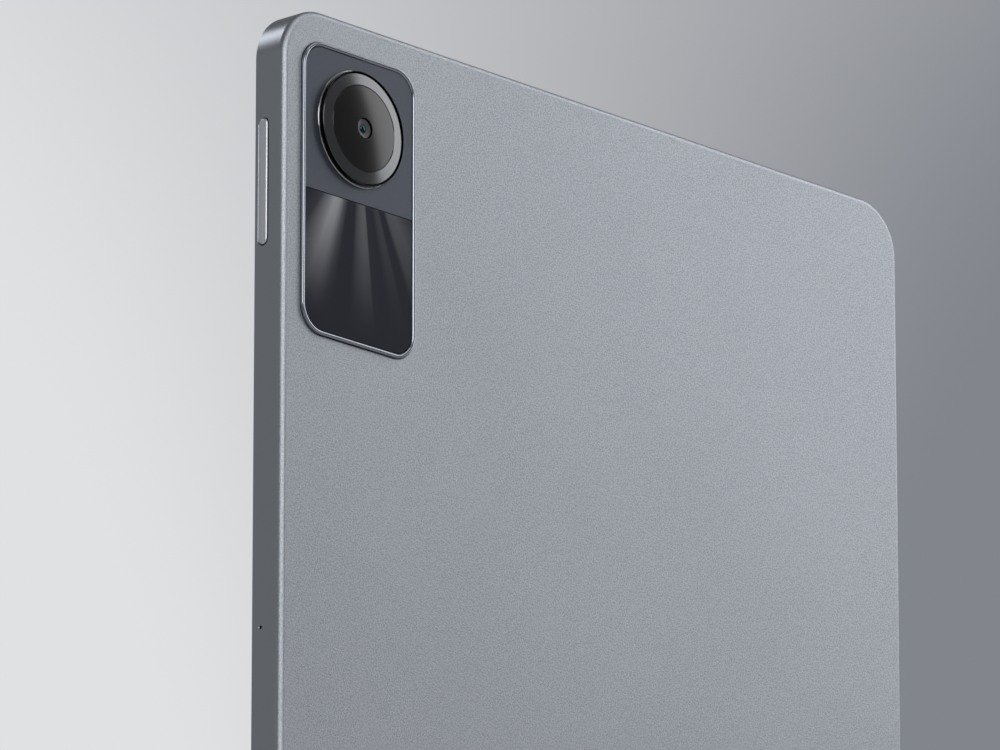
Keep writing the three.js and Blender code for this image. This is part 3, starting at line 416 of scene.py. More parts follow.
def milled_key():
    """Milled and anodised key: the housing's grey, smoother, with hardly a grain. Its tone is painted
    lighter to stand for the light its face catches.
    """
    material, tree = new_material("milled_key")
    place = node(tree, "ShaderNodeTexCoord").outputs["Object"]
    grit = node(tree, "ShaderNodeTexNoise", {"Vector": place, "Scale": 1 / KEY_GRAIN}).outputs["Fac"]
    roughness = node(
        tree, "ShaderNodeMapRange", {"Value": grit, "To Min": 0.4, "To Max": 0.5}
    ).outputs["Result"]
    bump = node(tree, "ShaderNodeBump", {"Height": grit, "Strength": 0.06, "Distance": mm(0.02)})
    shader = node(
        tree,
        "ShaderNodeBsdfPrincipled",
        {
            "Base Color": linear(KEY_PAINTED_LIGHT_TONE),
            "Metallic": 1,
            "Roughness": roughness,
            "Normal": bump.outputs["Normal"],
        },
    )
    node(tree, "ShaderNodeOutputMaterial", {"Surface": shader.outputs[0]})
    return material


key_metal = milled_key()
rocker = key_mesh("volume_rocker", "X", side)
fit(rocker, key_metal, "volume_key", "anodised_aluminium", "volume_rocker")
power = key_mesh("power_key", "Z", top)
fit(power, key_metal, "power_button", "anodised_aluminium", "power_key")


# ---- Switches and their flexible circuits ----
# Three dome switches, stamped from steel, sit on thin strips behind the keys. The strips are amber
# polyimide film with copper tracks inside, and so are all the other flexible circuits.

STEEL_TONE = "#b4b6b8"
FILM_TONE = "#5a3a10"
TRACK_TONE = "#8a5a1e"
TRACK_PITCH = mm(0.8)
ROLLING = mm(0.4)  # width of the rolling marks in sheet metal, across its grain


def coat(material, *names):
    """Gives pieces that keep their CAD shape their material."""
    for name in names:
        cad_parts[name].material_slots[0].material = material


def rolled_metal(name, tone, roughest, stretch):
    """Rolled sheet metal: bright, with long faint marks along the way that it was rolled."""
    material, tree = new_material(name)
    place = node(tree, "ShaderNodeTexCoord").outputs["Object"]
    drawn_out = node(tree, "ShaderNodeMapping", {"Vector": place, "Scale": stretch})
    marks = node(
        tree,
        "ShaderNodeTexNoise",
        {"Vector": drawn_out.outputs["Vector"], "Scale": 1 / ROLLING, "Detail": 3},
    ).outputs["Fac"]
    roughness = node(
        tree, "ShaderNodeMapRange", {"Value": marks, "To Min": 0.18, "To Max": roughest}
    ).outputs["Result"]
    bump = node(tree, "ShaderNodeBump", {"Height": marks, "Strength": 0.15, "Distance": mm(0.01)})
    shader = node(
        tree,
        "ShaderNodeBsdfPrincipled",
        {
            "Base Color": linear(tone),
            "Metallic": 1,
            "Roughness": roughness,
            "Normal": bump.outputs["Normal"],
        },
    )
    node(tree, "ShaderNodeOutputMaterial", {"Surface": shader.outputs[0]})
    return material


def polyimide_film():
    """Amber film over copper: brown gold, satin, with the tracks showing as fine lighter lines."""
    material, tree = new_material("polyimide_film")
    place = node(tree, "ShaderNodeTexCoord").outputs["Object"]
    tracks = node(
        tree,
        "ShaderNodeTexWave",
        {"Vector": place, "Scale": 1 / (TRACK_PITCH * 2 * math.pi), "Distortion": 0.4},
        bands_direction="X",
    ).outputs["Fac"]
    lines = node(
        tree, "ShaderNodeMapRange", {"Value": tracks, "From Min": 0.45, "From Max": 0.6}
    ).outputs["Result"]
    colour = node(
        tree,
        "ShaderNodeMix",
        {"Factor": lines, "A": linear(FILM_TONE), "B": linear(TRACK_TONE)},
        data_type="RGBA",
    )
    bump = node(tree, "ShaderNodeBump", {"Height": lines, "Strength": 0.3, "Distance": mm(0.02)})
    shader = node(
        tree,
        "ShaderNodeBsdfPrincipled",
        {
            "Base Color": colour.outputs["Result"],
            "Roughness": 0.38,
            "IOR": 1.6,
            "Coat Weight": 0.4,
            "Coat Roughness": 0.2,
            "Normal": bump.outputs["Normal"],
        },
    )
    node(tree, "ShaderNodeOutputMaterial", {"Surface": shader.outputs[0]})
    return material


steel = rolled_metal("stamped_steel", STEEL_TONE, 0.4, (1, 1, 0.08))
flexible_circuit = polyimide_film()
coat(steel, "volume_up_switch", "volume_down_switch", "power_switch")
coat(flexible_circuit, "volume_key_flex", "power_key_flex")


# ---- USB-C socket and headphone socket ----
# The USB socket is a drawn steel shell round a moulded tongue with gold contacts. The headphone socket
# is one black moulding with a steel sleeve at its mouth. Both are soldered or screwed in from inside.

MOULDED_BLACK = "#17181a"
MOULD_GRAIN = mm(0.25)  # spark-eroded mould grain, drawn coarser than the real 0.05 mm
CONTACT_TONE = "#c9a14a"
CONTACT_PITCH = mm(0.5)
SLEEVE = mm(0.2)
SLEEVE_DEPTH = mm(2.5)


def moulded_black():
    """Glass-filled plastic moulded in black: matt, with a fine even grain from the mould."""
    material, tree = new_material("moulded_black_plastic")
    place = node(tree, "ShaderNodeTexCoord").outputs["Object"]
    grain = node(
        tree, "ShaderNodeTexNoise", {"Vector": place, "Scale": 1 / MOULD_GRAIN, "Detail": 2}
    ).outputs["Fac"]
    roughness = node(
        tree, "ShaderNodeMapRange", {"Value": grain, "To Min": 0.42, "To Max": 0.6}
    ).outputs["Result"]
    bump = node(tree, "ShaderNodeBump", {"Height": grain, "Strength": 0.15, "Distance": mm(0.02)})
    shader = node(
        tree,
        "ShaderNodeBsdfPrincipled",
        {
            "Base Color": linear(MOULDED_BLACK),
            "Roughness": roughness,
            "IOR": 1.5,
            "Normal": bump.outputs["Normal"],
        },
    )
    node(tree, "ShaderNodeOutputMaterial", {"Surface": shader.outputs[0]})
    return material


def contact_tongue():
    """Black plastic with gold-plated contacts side by side on its faces: matt with bright bars."""
    material, tree = new_material("contact_tongue")
    place = node(tree, "ShaderNodeTexCoord").outputs["Object"]
    bars = node(
        tree,
        "ShaderNodeTexWave",
        {"Vector": place, "Scale": 1 / (CONTACT_PITCH * 2 * math.pi)},
        bands_direction="X",
    ).outputs["Fac"]
    contact = node(
        tree, "ShaderNodeMapRange", {"Value": bars, "From Min": 0.5, "From Max": 0.55}
    ).outputs["Result"]
    colour = node(
        tree,
        "ShaderNodeMix",
        {"Factor": contact, "A": linear(MOULDED_BLACK), "B": linear(CONTACT_TONE)},
        data_type="RGBA",
    )
    bump = node(tree, "ShaderNodeBump", {"Height": contact, "Strength": 0.5, "Distance": mm(0.02)})
    shader = node(
        tree,
        "ShaderNodeBsdfPrincipled",
        {
            "Base Color": colour.outputs["Result"],
            "Metallic": contact,
            "Roughness": 0.32,
            "Normal": bump.outputs["Normal"],
        },
    )
    node(tree, "ShaderNodeOutputMaterial", {"Surface": shader.outputs[0]})
    return material


black_plastic = moulded_black()
coat(steel, "usb_c_shell")
coat(contact_tongue(), "usb_c_tongue")
coat(black_plastic, "headphone_jack")

sleeve_outer = round_hole(JACK_BORE - 2 * FIT)
sleeve_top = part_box("headphone_jack")[1].z
sleeve_levels = [
    (sleeve_top - SLEEVE_DEPTH, 0),
    (sleeve_top - SLEEVE / 2, 0),
    (sleeve_top, SLEEVE / 2),
    (sleeve_top - SLEEVE / 2, SLEEVE),
    (sleeve_top - SLEEVE_DEPTH, SLEEVE),
]
sleeve = loft("headphone_jack_sleeve", "Z", jack_centre, sleeve_outer, sleeve_levels, closed=True)
fit(sleeve, steel, "tablet", "steel")


# ---- Speakers, dust meshes and microphones ----
# Each speaker is a sealed box of black plastic glued into a corner. A woven mesh behind the holes of
# the housing keeps dust out. The microphones are tiny tinned cans behind pinholes.

THREAD = mm(0.3)  # pitch of the weave, drawn twice as coarse as the real one
THREAD_TONE = "#26272a"
OPENING_SHADE_TONE = "#050505"
TIN_TONE = "#c2c2bf"


def woven_mesh():
    """Woven polyester mesh: dark threads that pass over and under, with the tiny openings between
    them painted near black as shade.
    """
    material, tree = new_material("woven_dust_mesh")
    place = node(tree, "ShaderNodeTexCoord").outputs["Object"]
    threads = []
    for direction in ("X", "Y"):
        wave = node(
            tree,
            "ShaderNodeTexWave",
            {"Vector": place, "Scale": 1 / (THREAD * 2 * math.pi)},
            bands_direction=direction,
        )
        threads.append(wave.outputs["Fac"])
    weave = node(tree, "ShaderNodeMath", {0: threads[0], 1: threads[1]}, operation="MAXIMUM")
    share = node(
        tree, "ShaderNodeMapRange", {"Value": weave.outputs[0], "From Min": 0.5, "From Max": 0.8}
    ).outputs["Result"]
    # The openings between the threads are painted near black as the shade seen through them.
    colour = node(
        tree,
        "ShaderNodeMix",
        {"Factor": share, "A": linear(OPENING_SHADE_TONE), "B": linear(THREAD_TONE)},
        data_type="RGBA",
    )
    bump = node(
        tree, "ShaderNodeBump", {"Height": weave.outputs[0], "Strength": 0.8, "Distance": mm(0.05)}
    )
    shader = node(
        tree,
        "ShaderNodeBsdfPrincipled",
        {
            "Base Color": colour.outputs["Result"],
            "Roughness": 0.6,
            "Normal": bump.outputs["Normal"],
        },
    )
    node(tree, "ShaderNodeOutputMaterial", {"Surface": shader.outputs[0]})
    return material


dust_mesh = woven_mesh()
for end in ("top", "bottom"):
    for hand in ("left", "right"):
        coat(black_plastic, f"speaker_{end}_{hand}")
        coat(dust_mesh, f"speaker_mesh_{end}_{hand}")
tin = rolled_metal("tinned_sheet", TIN_TONE, 0.45, (0.1, 1, 1))
coat(tin, "microphone_side", "microphone_top")


# ---- Rear camera module ----
# A black camera block behind the hole in the back, with a glass lens in its barrel. A flexible circuit
# runs from it down to the main board.

LENS_TONE = "#020304"
BARREL_TONE = "#38393b"
COATING_TONE = "#58d8e4"
NO_TINT = "#ffffff"
LENS_IOR = 1.6
GLASS_LIMIT = mm(0.03)  # width over which glass turns into barrel


def coated_lens(name, centre, glass_radius):
    """Camera glass with a thin anti-reflection coat, nearly black with small teal glints, in a matt
    dark grey barrel."""
    material, tree = new_material(name)
    place = node(tree, "ShaderNodeTexCoord").outputs["Object"]
    from_lens = node(
        tree, "ShaderNodeVectorMath", {0: place, 1: tuple(centre)}, operation="SUBTRACT"
    ).outputs["Vector"]
    flat = node(
        tree, "ShaderNodeVectorMath", {0: from_lens, 1: (1, 0, 1)}, operation="MULTIPLY"
    ).outputs["Vector"]
    radius = node(tree, "ShaderNodeVectorMath", {0: flat}, operation="LENGTH").outputs["Value"]
    barrel = node(
        tree,
        "ShaderNodeMapRange",
        {"Value": radius, "From Min": glass_radius, "From Max": glass_radius + GLASS_LIMIT},
    ).outputs["Result"]
    colour = node(
        tree,
        "ShaderNodeMix",
        {"Factor": barrel, "A": linear(LENS_TONE), "B": linear(BARREL_TONE)},
        data_type="RGBA",
    )
    tint = node(
        tree,
        "ShaderNodeMix",
        {"Factor": barrel, "A": linear(COATING_TONE), "B": linear(NO_TINT)},
        data_type="RGBA",
    )
    roughness = node(
        tree, "ShaderNodeMapRange", {"Value": barrel, "To Min": 0.06, "To Max": 0.45}
    ).outputs["Result"]
    shader = node(
        tree,
        "ShaderNodeBsdfPrincipled",
        {
            "Base Color": colour.outputs["Result"],
            "Roughness": roughness,
            "IOR": LENS_IOR,
            "Specular Tint": tint.outputs["Result"],
        },
    )
    node(tree, "ShaderNodeOutputMaterial", {"Surface": shader.outputs[0]})
    return material


def turned(name, centre, profile, steps=96, closed=True):
    """A turned piece round an axis along Y, from a profile of (radius, y)."""
    rings = []
    for radius, depth in profile:
        angles = [2 * math.pi * i / steps for i in range(steps)]
        rings.append([
            (centre.x + radius * math.cos(a), depth, centre.z + radius * math.sin(a)) for a in angles
        ])
    return skin(name, rings, closed)


LENS_GLASS = mm(0.8)
LENS_NOSE = mm(1.85)
LENS_RISE = mm(0.3)
NOSE_CHAMFER = mm(0.1)
NOSE_LAND = mm(0.2)
GLASS_SEAT = mm(0.1)
FILM = mm(0.02)  # between stacked pieces


def lens_mesh(name):
    """The lens barrel and its front glass, which reaches up into the clear spot of the cover."""
    low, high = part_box(name)
    radius = (high.x - low.x) / 2
    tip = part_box("camera_lens_cover")[1].y - FILM
    ledge = tip - LENS_RISE * 0.9
    levels = [
        (radius, low.y),
        (radius, high.y),
        (LENS_NOSE, high.y),
        (LENS_NOSE, tip - NOSE_CHAMFER),
        (LENS_NOSE - NOSE_CHAMFER, tip),
        (LENS_NOSE - NOSE_CHAMFER - NOSE_LAND, tip),
        (LENS_GLASS + GLASS_SEAT, ledge),
        (LENS_GLASS, ledge),
    ]
    for i in range(1, 9):
        share = 1 - i / 9
        levels.append((LENS_GLASS * share, tip - LENS_RISE * 0.8 * share ** 2))
    return turned(name, (low + high) / 2, levels, 64, closed=False)


rear_glass = coated_lens("rear_lens_glass", middle("rear_camera_lens"), LENS_GLASS)
lens = lens_mesh("rear_camera_lens")
fit(lens, rear_glass, "tablet", "dark_glass", "rear_camera_lens")
coat(black_plastic, "rear_camera_module")
coat(flexible_circuit, "rear_camera_flex")


# ---- Main board, sub-board and their screws ----
# Two glass-fibre boards with a green solder mask stand on bosses of the housing, held by small steel
# screws. Tinned shields cover the main board's chips, and a wide flexible circuit joins the two boards.

MASK_TONE = "#123b25"
COPPER_TONE = "#2a6a41"
PAD_TONE = "#b9b7ab"
BOARD_TRACK = mm(0.9)
PAD_PITCH = mm(2.2)
MASK_ROUGHNESS = 0.34


def solder_mask():
    """Green solder mask over copper: satin green with lighter tracks and small tinned pads."""
    material, tree = new_material("solder_mask_board")
    place = node(tree, "ShaderNodeTexCoord").outputs["Object"]
    turned_tracks = node(
        tree,
        "ShaderNodeTexVoronoi",
        {"Vector": place, "Scale": 1 / BOARD_TRACK, "Randomness": 0.35},
        distance="MANHATTAN",
        feature="F1",
    ).outputs["Distance"]
    tracks = node(
        tree, "ShaderNodeMapRange", {"Value": turned_tracks, "From Min": 0.45, "From Max": 0.5}
    ).outputs["Result"]
    spots = node(
        tree,
        "ShaderNodeTexVoronoi",
        {"Vector": place, "Scale": 1 / PAD_PITCH, "Randomness": 0.6},
        distance="CHEBYCHEV",
    ).outputs["Distance"]
    pads = node(
        tree,
        "ShaderNodeMapRange",
        {"Value": spots, "From Min": 0.2, "From Max": 0.16},
    ).outputs["Result"]
    mask = node(
        tree,
        "ShaderNodeMix",
        {"Factor": tracks, "A": linear(MASK_TONE), "B": linear(COPPER_TONE)},
        data_type="RGBA",
    )
    colour = node(
        tree,
        "ShaderNodeMix",
        {"Factor": pads, "A": mask.outputs["Result"], "B": linear(PAD_TONE)},
        data_type="RGBA",
    )
    bump = node(tree, "ShaderNodeBump", {"Height": tracks, "Strength": 0.3, "Distance": mm(0.03)})
    shader = node(
        tree,
        "ShaderNodeBsdfPrincipled",
        {
            "Base Color": colour.outputs["Result"],
            "Metallic": pads,
            "Roughness": MASK_ROUGHNESS,
            "IOR": 1.55,
            "Normal": bump.outputs["Normal"],
        },
    )
    node(tree, "ShaderNodeOutputMaterial", {"Surface": shader.outputs[0]})
    return material


board = solder_mask()
coat(board, "mainboard", "sub_board", "battery_board")
coat(tin, "shield_processor", "shield_memory", "shield_power")
coat(flexible_circuit, "board_flex")
coat(steel, *screws)


# ---- Battery ----
# Two flat pouch cells of aluminium laminate, glued into the middle of the housing, share one small
# protection board. The foil is pressed round the cell, so it is faintly dimpled.

FOIL_TONE = "#a7a9ab"
FOIL_SHADE = "#8f9193"
DIMPLE = mm(4)


def laminate_foil():
    """Laminated aluminium foil: soft silver with shallow dimples and a slight haze."""
    material, tree = new_material("laminate_foil")
    place = node(tree, "ShaderNodeTexCoord").outputs["Object"]
    dimples = node(
        tree, "ShaderNodeTexNoise", {"Vector": place, "Scale": 1 / DIMPLE, "Detail": 3}
    ).outputs["Fac"]
    colour = node(
        tree,
        "ShaderNodeMix",
        {"Factor": dimples, "A": linear(FOIL_SHADE), "B": linear(FOIL_TONE)},
        data_type="RGBA",
    )
    bump = node(tree, "ShaderNodeBump", {"Height": dimples, "Strength": 0.3, "Distance": mm(0.2)})
    shader = node(
        tree,
        "ShaderNodeBsdfPrincipled",
        {
            "Base Color": colour.outputs["Result"],
            "Metallic": 0.85,
            "Roughness": 0.36,
            "Normal": bump.outputs["Normal"],
        },
    )
    node(tree, "ShaderNodeOutputMaterial", {"Surface": shader.outputs[0]})
    return material


coat(laminate_foil(), "battery_cell_left", "battery_cell_right")


# ---- Antenna, front camera and light sensor ----
# The antenna is a white moulded carrier clipped in along the top edge. The front camera and the light
# sensor sit behind the glass's black border, and look out through two clear spots in it.

MOULDED_WHITE = "#cfd1d2"
FRONT_GLASS = mm(0.8)


def moulded_white():
    """Moulded white plastic: satin, slightly milky, with a trace of the mould's grain."""
    material, tree = new_material("moulded_white_plastic")
    place = node(tree, "ShaderNodeTexCoord").outputs["Object"]
    grain = node(
        tree, "ShaderNodeTexNoise", {"Vector": place, "Scale": 1 / MOULD_GRAIN, "Detail": 2}
    ).outputs["Fac"]
    roughness = node(
        tree, "ShaderNodeMapRange", {"Value": grain, "To Min": 0.35, "To Max": 0.5}
    ).outputs["Result"]
    bump = node(tree, "ShaderNodeBump", {"Height": grain, "Strength": 0.1, "Distance": mm(0.02)})
    shader = node(
        tree,
        "ShaderNodeBsdfPrincipled",
        {
            "Base Color": linear(MOULDED_WHITE),
            "Roughness": roughness,
            "IOR": 1.5,
            "Normal": bump.outputs["Normal"],
        },
    )
    node(tree, "ShaderNodeOutputMaterial", {"Surface": shader.outputs[0]})
    return material


white_plastic = moulded_white()
coat(white_plastic, "wifi_antenna", "light_sensor", "backlight_unit")
coat(black_plastic, "front_camera_module")
coat(flexible_circuit, "front_camera_flex", "display_flex")
front_glass = coated_lens("front_lens_glass", middle("front_camera_lens"), FRONT_GLASS)
coat(front_glass, "front_camera_lens")


# ---- Front frame ----
# A moulded ring of black plastic is glued inside the metal rim. It cushions the glass, and the glass is
# taped down on its inner ledge.

FRAME_EDGE = mm(0.2)
GLASS_INSET = mm(2.75)
LEDGE_INSET = mm(3.9)


def frame_ring():
    low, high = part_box("front_frame")
    outer = low.x + side
    inner = GLASS_INSET - FIT
    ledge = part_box("display_adhesive")[1].y + FILM
    levels = [(high.y, outer)]
    levels += rounding(low.y, FRAME_EDGE, -1, outer, 4)
    for depth, inset in reversed(rounding(low.y, FRAME_EDGE / 2, -1, 0, 3)):
        levels.append((depth, inner - inset))
    levels += [(ledge, inner), (ledge, LEDGE_INSET), (high.y, LEDGE_INSET)]
    shape = rounded(2 * side, top, CORNER, 16)
    return loft("front_frame", "Y", housing_middle, shape, levels, closed=True)


fit(frame_ring(), black_plastic, "tablet", "black_plastic", "front_frame")


# ---- Display ----
# A thin steel plate, a white light guide and the glass cell with its picture lie behind the cover glass.
# The picture is lit from behind: a dusk of plum and crimson over a low glowing hill.

WINDOW_INSET = mm(9.5)
SKY_TOP = "#2a0033"
SKY_MIDDLE = "#5c0038"
SKY_LOW = "#b01a34"
HILL_EDGE = "#ff9a2c"
HILL_CORE = "#ff5410"
PANEL_OFF = "#050506"
PICTURE_LIGHT = 0.9
HILL_RADIUS = mm(150)
HILL_DROP = mm(60)  # centre of the hill's circle below the bottom edge
HILL_SHIFT = mm(-30)  # and to one side of the middle
HILL_GLOW = 1.25  # the glow ends at this share of the radius
HILL_HEART = 0.6  # and is deepest from this share inwards


def lit_panel():
    """The panel's polariser film is smooth black glass when dark, and glows with the picture."""
    material, tree = new_material("lit_display_panel")
    place = node(tree, "ShaderNodeTexCoord").outputs["Object"]
    height = node(tree, "ShaderNodeSeparateXYZ", {0: place}).outputs["Z"]
    share = node(
        tree,
        "ShaderNodeMapRange",
        {"Value": height, "From Min": WINDOW_INSET, "From Max": top - WINDOW_INSET},
    ).outputs["Result"]
    sky = node(tree, "ShaderNodeValToRGB", {"Fac": share})
    bands = sky.color_ramp
    bands.interpolation = "EASE"
    bands.elements[0].color = linear(SKY_LOW)
    bands.elements[0].position = 0.2
    bands.elements[1].color = linear(SKY_TOP)
    bands.elements[1].position = 1
    bands.elements.new(0.62).color = linear(SKY_MIDDLE)
    hub = (HILL_SHIFT, 0, -HILL_DROP)
    flat = node(tree, "ShaderNodeVectorMath", {0: place, 1: (1, 0, 1)}, operation="MULTIPLY")
    reach = node(
        tree, "ShaderNodeVectorMath", {0: flat.outputs[0], 1: hub}, operation="DISTANCE"
    ).outputs["Value"]
    glow = node(
        tree,
        "ShaderNodeMapRange",
        {"Value": reach, "From Min": HILL_RADIUS * HILL_GLOW, "From Max": HILL_RADIUS},
        interpolation_type="SMOOTHERSTEP",
    ).outputs["Result"]
    inside = node(
        tree,
        "ShaderNodeMapRange",
        {"Value": reach, "From Min": HILL_RADIUS, "From Max": HILL_RADIUS * HILL_HEART},
    ).outputs["Result"]
    hill = node(
        tree,
        "ShaderNodeMix",
        {"Factor": inside, "A": linear(HILL_EDGE), "B": linear(HILL_CORE)},
        data_type="RGBA",
    )
    picture = node(
        tree,
        "ShaderNodeMix",
        {"Factor": glow, "A": sky.outputs["Color"], "B": hill.outputs["Result"]},
        data_type="RGBA",
    )
    shader = node(
        tree,
        "ShaderNodeBsdfPrincipled",
        {
            "Base Color": linear(PANEL_OFF),
            "Roughness": 0.1,
            "IOR": 1.5,
            "Emission Color": picture.outputs["Result"],
            "Emission Strength": PICTURE_LIGHT,
        },
    )
    node(tree, "ShaderNodeOutputMaterial", {"Surface": shader.outputs[0]})
    return material


coat(steel, "display_backplate")
coat(lit_panel(), "display_panel")


# ---- Cover glass ----
# One sheet of strengthened glass with a rounded front edge covers the front. A black border is printed
# on its inner face, with clear spots for the camera and the sensor, and black foam tape holds it down.

GLASS_TONE = "#f7fafa"
GLASS_EDGE = mm(0.4)
GLASS_BACK_EDGE = mm(0.05)
WIPE = mm(30)  # patches left by wiping
PRINT_GAP = mm(0.004)
PRINT_DEPTH = mm(0.012)
INK_GRAIN = mm(0.4)
WINDOW_CORNER = mm(1.8)
CAMERA_SPOT = mm(1.7)
SENSOR_SPOT = mm(0.9)
FOAM_CELL = mm(0.3)  # cells of the foam, drawn coarser than the real 0.1 mm
FOAM_TONE = "#131313"
PRINT_TONE = "#030304"


def clear_glass():
    """Strengthened glass: clear and colourless, with sharp reflections."""
    material, tree = new_material("strengthened_glass")
    place = node(tree, "ShaderNodeTexCoord").outputs["Object"]
    wipe = node(tree, "ShaderNodeTexNoise", {"Vector": place, "Scale": 1 / WIPE}).outputs["Fac"]
    roughness = node(
        tree, "ShaderNodeMapRange", {"Value": wipe, "To Min": 0, "To Max": 0.015}
    ).outputs["Result"]
    shader = node(
        tree,
        "ShaderNodeBsdfPrincipled",
        {
            "Base Color": linear(GLASS_TONE),
            "Roughness": roughness,
            "IOR": 1.5,
            "Transmission Weight": 1,
        },
    )
    node(tree, "ShaderNodeOutputMaterial", {"Surface": shader.outputs[0]})
    return material


def printed_ink():
    """Opaque black ink fired on the glass: deep and even, seen only through the glass."""
    material, tree = new_material("fired_black_ink")
    place = node(tree, "ShaderNodeTexCoord").outputs["Object"]
    grain = node(tree, "ShaderNodeTexNoise", {"Vector": place, "Scale": 1 / INK_GRAIN}).outputs["Fac"]
    roughness = node(
        tree, "ShaderNodeMapRange", {"Value": grain, "To Min": 0.6, "To Max": 0.7}
    ).outputs["Result"]
    shader = node(
        tree,
        "ShaderNodeBsdfPrincipled",
        {"Base Color": linear(PRINT_TONE), "Roughness": roughness, "Specular IOR Level": 0.05},
    )
    node(tree, "ShaderNodeOutputMaterial", {"Surface": shader.outputs[0]})
    return material


def soft_black(name, tone, cell, strength):
    """Foam or rubber in black: matt, with small soft cells and no gloss."""
    material, tree = new_material(name)
    place = node(tree, "ShaderNodeTexCoord").outputs["Object"]
    cells = node(
        tree, "ShaderNodeTexVoronoi", {"Vector": place, "Scale": 1 / cell}
    ).outputs["Distance"]
    bump = node(tree, "ShaderNodeBump", {"Height": cells, "Strength": strength, "Distance": cell / 4})
    shader = node(
        tree,
        "ShaderNodeBsdfPrincipled",
        {"Base Color": linear(tone), "Roughness": 0.85, "Normal": bump.outputs["Normal"]},
    )
    node(tree, "ShaderNodeOutputMaterial", {"Surface": shader.outputs[0]})
    return material


glass_low, glass_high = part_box("cover_glass")
glass_middle = (glass_low + glass_high) / 2
glass_shape = rounded(
    glass_high.x - glass_low.x, glass_high.z - glass_low.z, CORNER - GLASS_INSET, 24
)
glass_levels = [(glass_high.y, GLASS_BACK_EDGE), (glass_high.y - GLASS_BACK_EDGE, 0)]
glass_levels += rounding(glass_low.y, GLASS_EDGE, -1, 0, 8)
cover = loft("cover_glass", "Y", glass_middle, glass_shape, glass_levels)
fit(cover, clear_glass(), "tablet", "cover_glass", "cover_glass")

print_front = glass_high.y + PRINT_GAP
print_back = print_front + PRINT_DEPTH
print_levels = [(print_front, GLASS_BACK_EDGE), (print_back, GLASS_BACK_EDGE)]
border = loft("glass_border_print", "Y", glass_middle, glass_shape, print_levels)
window = rounded(2 * (side - WINDOW_INSET), top - 2 * WINDOW_INSET, WINDOW_CORNER, 12)
through = [(print_front - PAST, 0), (PAST, 0)]
spots = [loft("window", "Y", housing_middle, window, through)]
for name, radius in (("front_camera_lens", CAMERA_SPOT), ("light_sensor", SENSOR_SPOT)):
    spots.append(loft("spot", "Y", middle(name), round_hole(2 * radius), through))
carve(border, spots)
fit(border, printed_ink(), "tablet", "black_plastic")
coat(soft_black("foam_tape", FOAM_TONE, FOAM_CELL, 0.5), "display_adhesive")


# ---- Camera trim ----
# A narrow bright ring frames the camera plate. It is turned out of aluminium with a diamond cutter,
# rounded on both sides of its crest, and glued into the seat in the back.

TRIM_WIDTH = mm(0.8)
TRIM_OUTER_EDGE = mm(0.26)
TRIM_INNER_EDGE = mm(0.38)
TRIM_TONE = "#8b8f98"
CUTTER_LINE = mm(0.6)  # spacing of the cutter's marks


def diamond_cut():
    """Diamond-cut aluminium: nearly a mirror, with faint lines left by the cutter."""
    material, tree = new_material("diamond_cut_trim")
    place = node(tree, "ShaderNodeTexCoord").outputs["Object"]
    lines = node(
        tree, "ShaderNodeTexNoise", {"Vector": place, "Scale": 1 / CUTTER_LINE, "Detail": 1}
    ).outputs["Fac"]
    roughness = node(
        tree, "ShaderNodeMapRange", {"Value": lines, "To Min": 0.14, "To Max": 0.2}
    ).outputs["Result"]
    shader = node(
        tree,
        "ShaderNodeBsdfPrincipled",
        {"Base Color": linear(TRIM_TONE), "Metallic": 1, "Roughness": roughness},
    )
    node(tree, "ShaderNodeOutputMaterial", {"Surface": shader.outputs[0]})
    return material


trim_low, trim_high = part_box("camera_trim")
trim_middle = (trim_low + trim_high) / 2
trim_shape = rounded(trim_high.x - trim_low.x, trim_high.z - trim_low.z, PLATE_CORNER, 20)
trim_levels = [(trim_low.y, 0)] + rounding(trim_high.y, TRIM_OUTER_EDGE, 1, 0, 6)
for depth, inset in reversed(rounding(trim_high.y, TRIM_INNER_EDGE, 1, 0, 5)):
    trim_levels.append((depth, TRIM_WIDTH - inset))
trim_levels.append((trim_low.y, TRIM_WIDTH))
trim = loft("camera_trim", "Y", trim_middle, trim_shape, trim_levels, closed=True)
fit(trim, diamond_cut(), "tablet", "polished_trim", "camera_trim")


# ---- Camera plate ----
# Two tiles fill the trim. The upper one is satin painted metal with the camera ring through it. The lower
# one is dark glossy plastic with a printed fan of soft light rays that spreads from the lens.

TILE_EDGE = mm(0.08)
SATIN_TONE = "#3b3f4a"
SATIN_FLECK = "#464b56"
PAINT_FLAKE = mm(0.3)  # metal flakes in the paint, drawn coarser than the real 0.05 mm
GLOSS_TONE = "#1d2028"
RAY_TONE = "#8d8e92"
RAY_REACH = mm(39)
RAY_START = mm(13)
RAY_LIMIT = 45  # degrees either side of straight down that the fan covers
RAYS = (
    # degrees from straight down towards -X, and how bright
    (-42, 0.0),
    (-34, 0.08),
    (-28, 0.55),
    (-23.5, 1.0),
    (-19, 0.85),
    (-14.5, 0.2),
    (-11, 0.0),
    (-4, 0.0),
    (-1, 0.18),
    (3, 0.32),
    (6, 0.3),
    (7, 0.02),
    (13, 0.0),
    (17, 0.1),
    (19.5, 0.09),
    (20.5, 0.0),
    (24.5, 0.0),
    (27, 0.22),
    (33, 0.25),
    (40, 0.12),
    (45, 0.04),
)

lens_centre = middle("camera_ring")


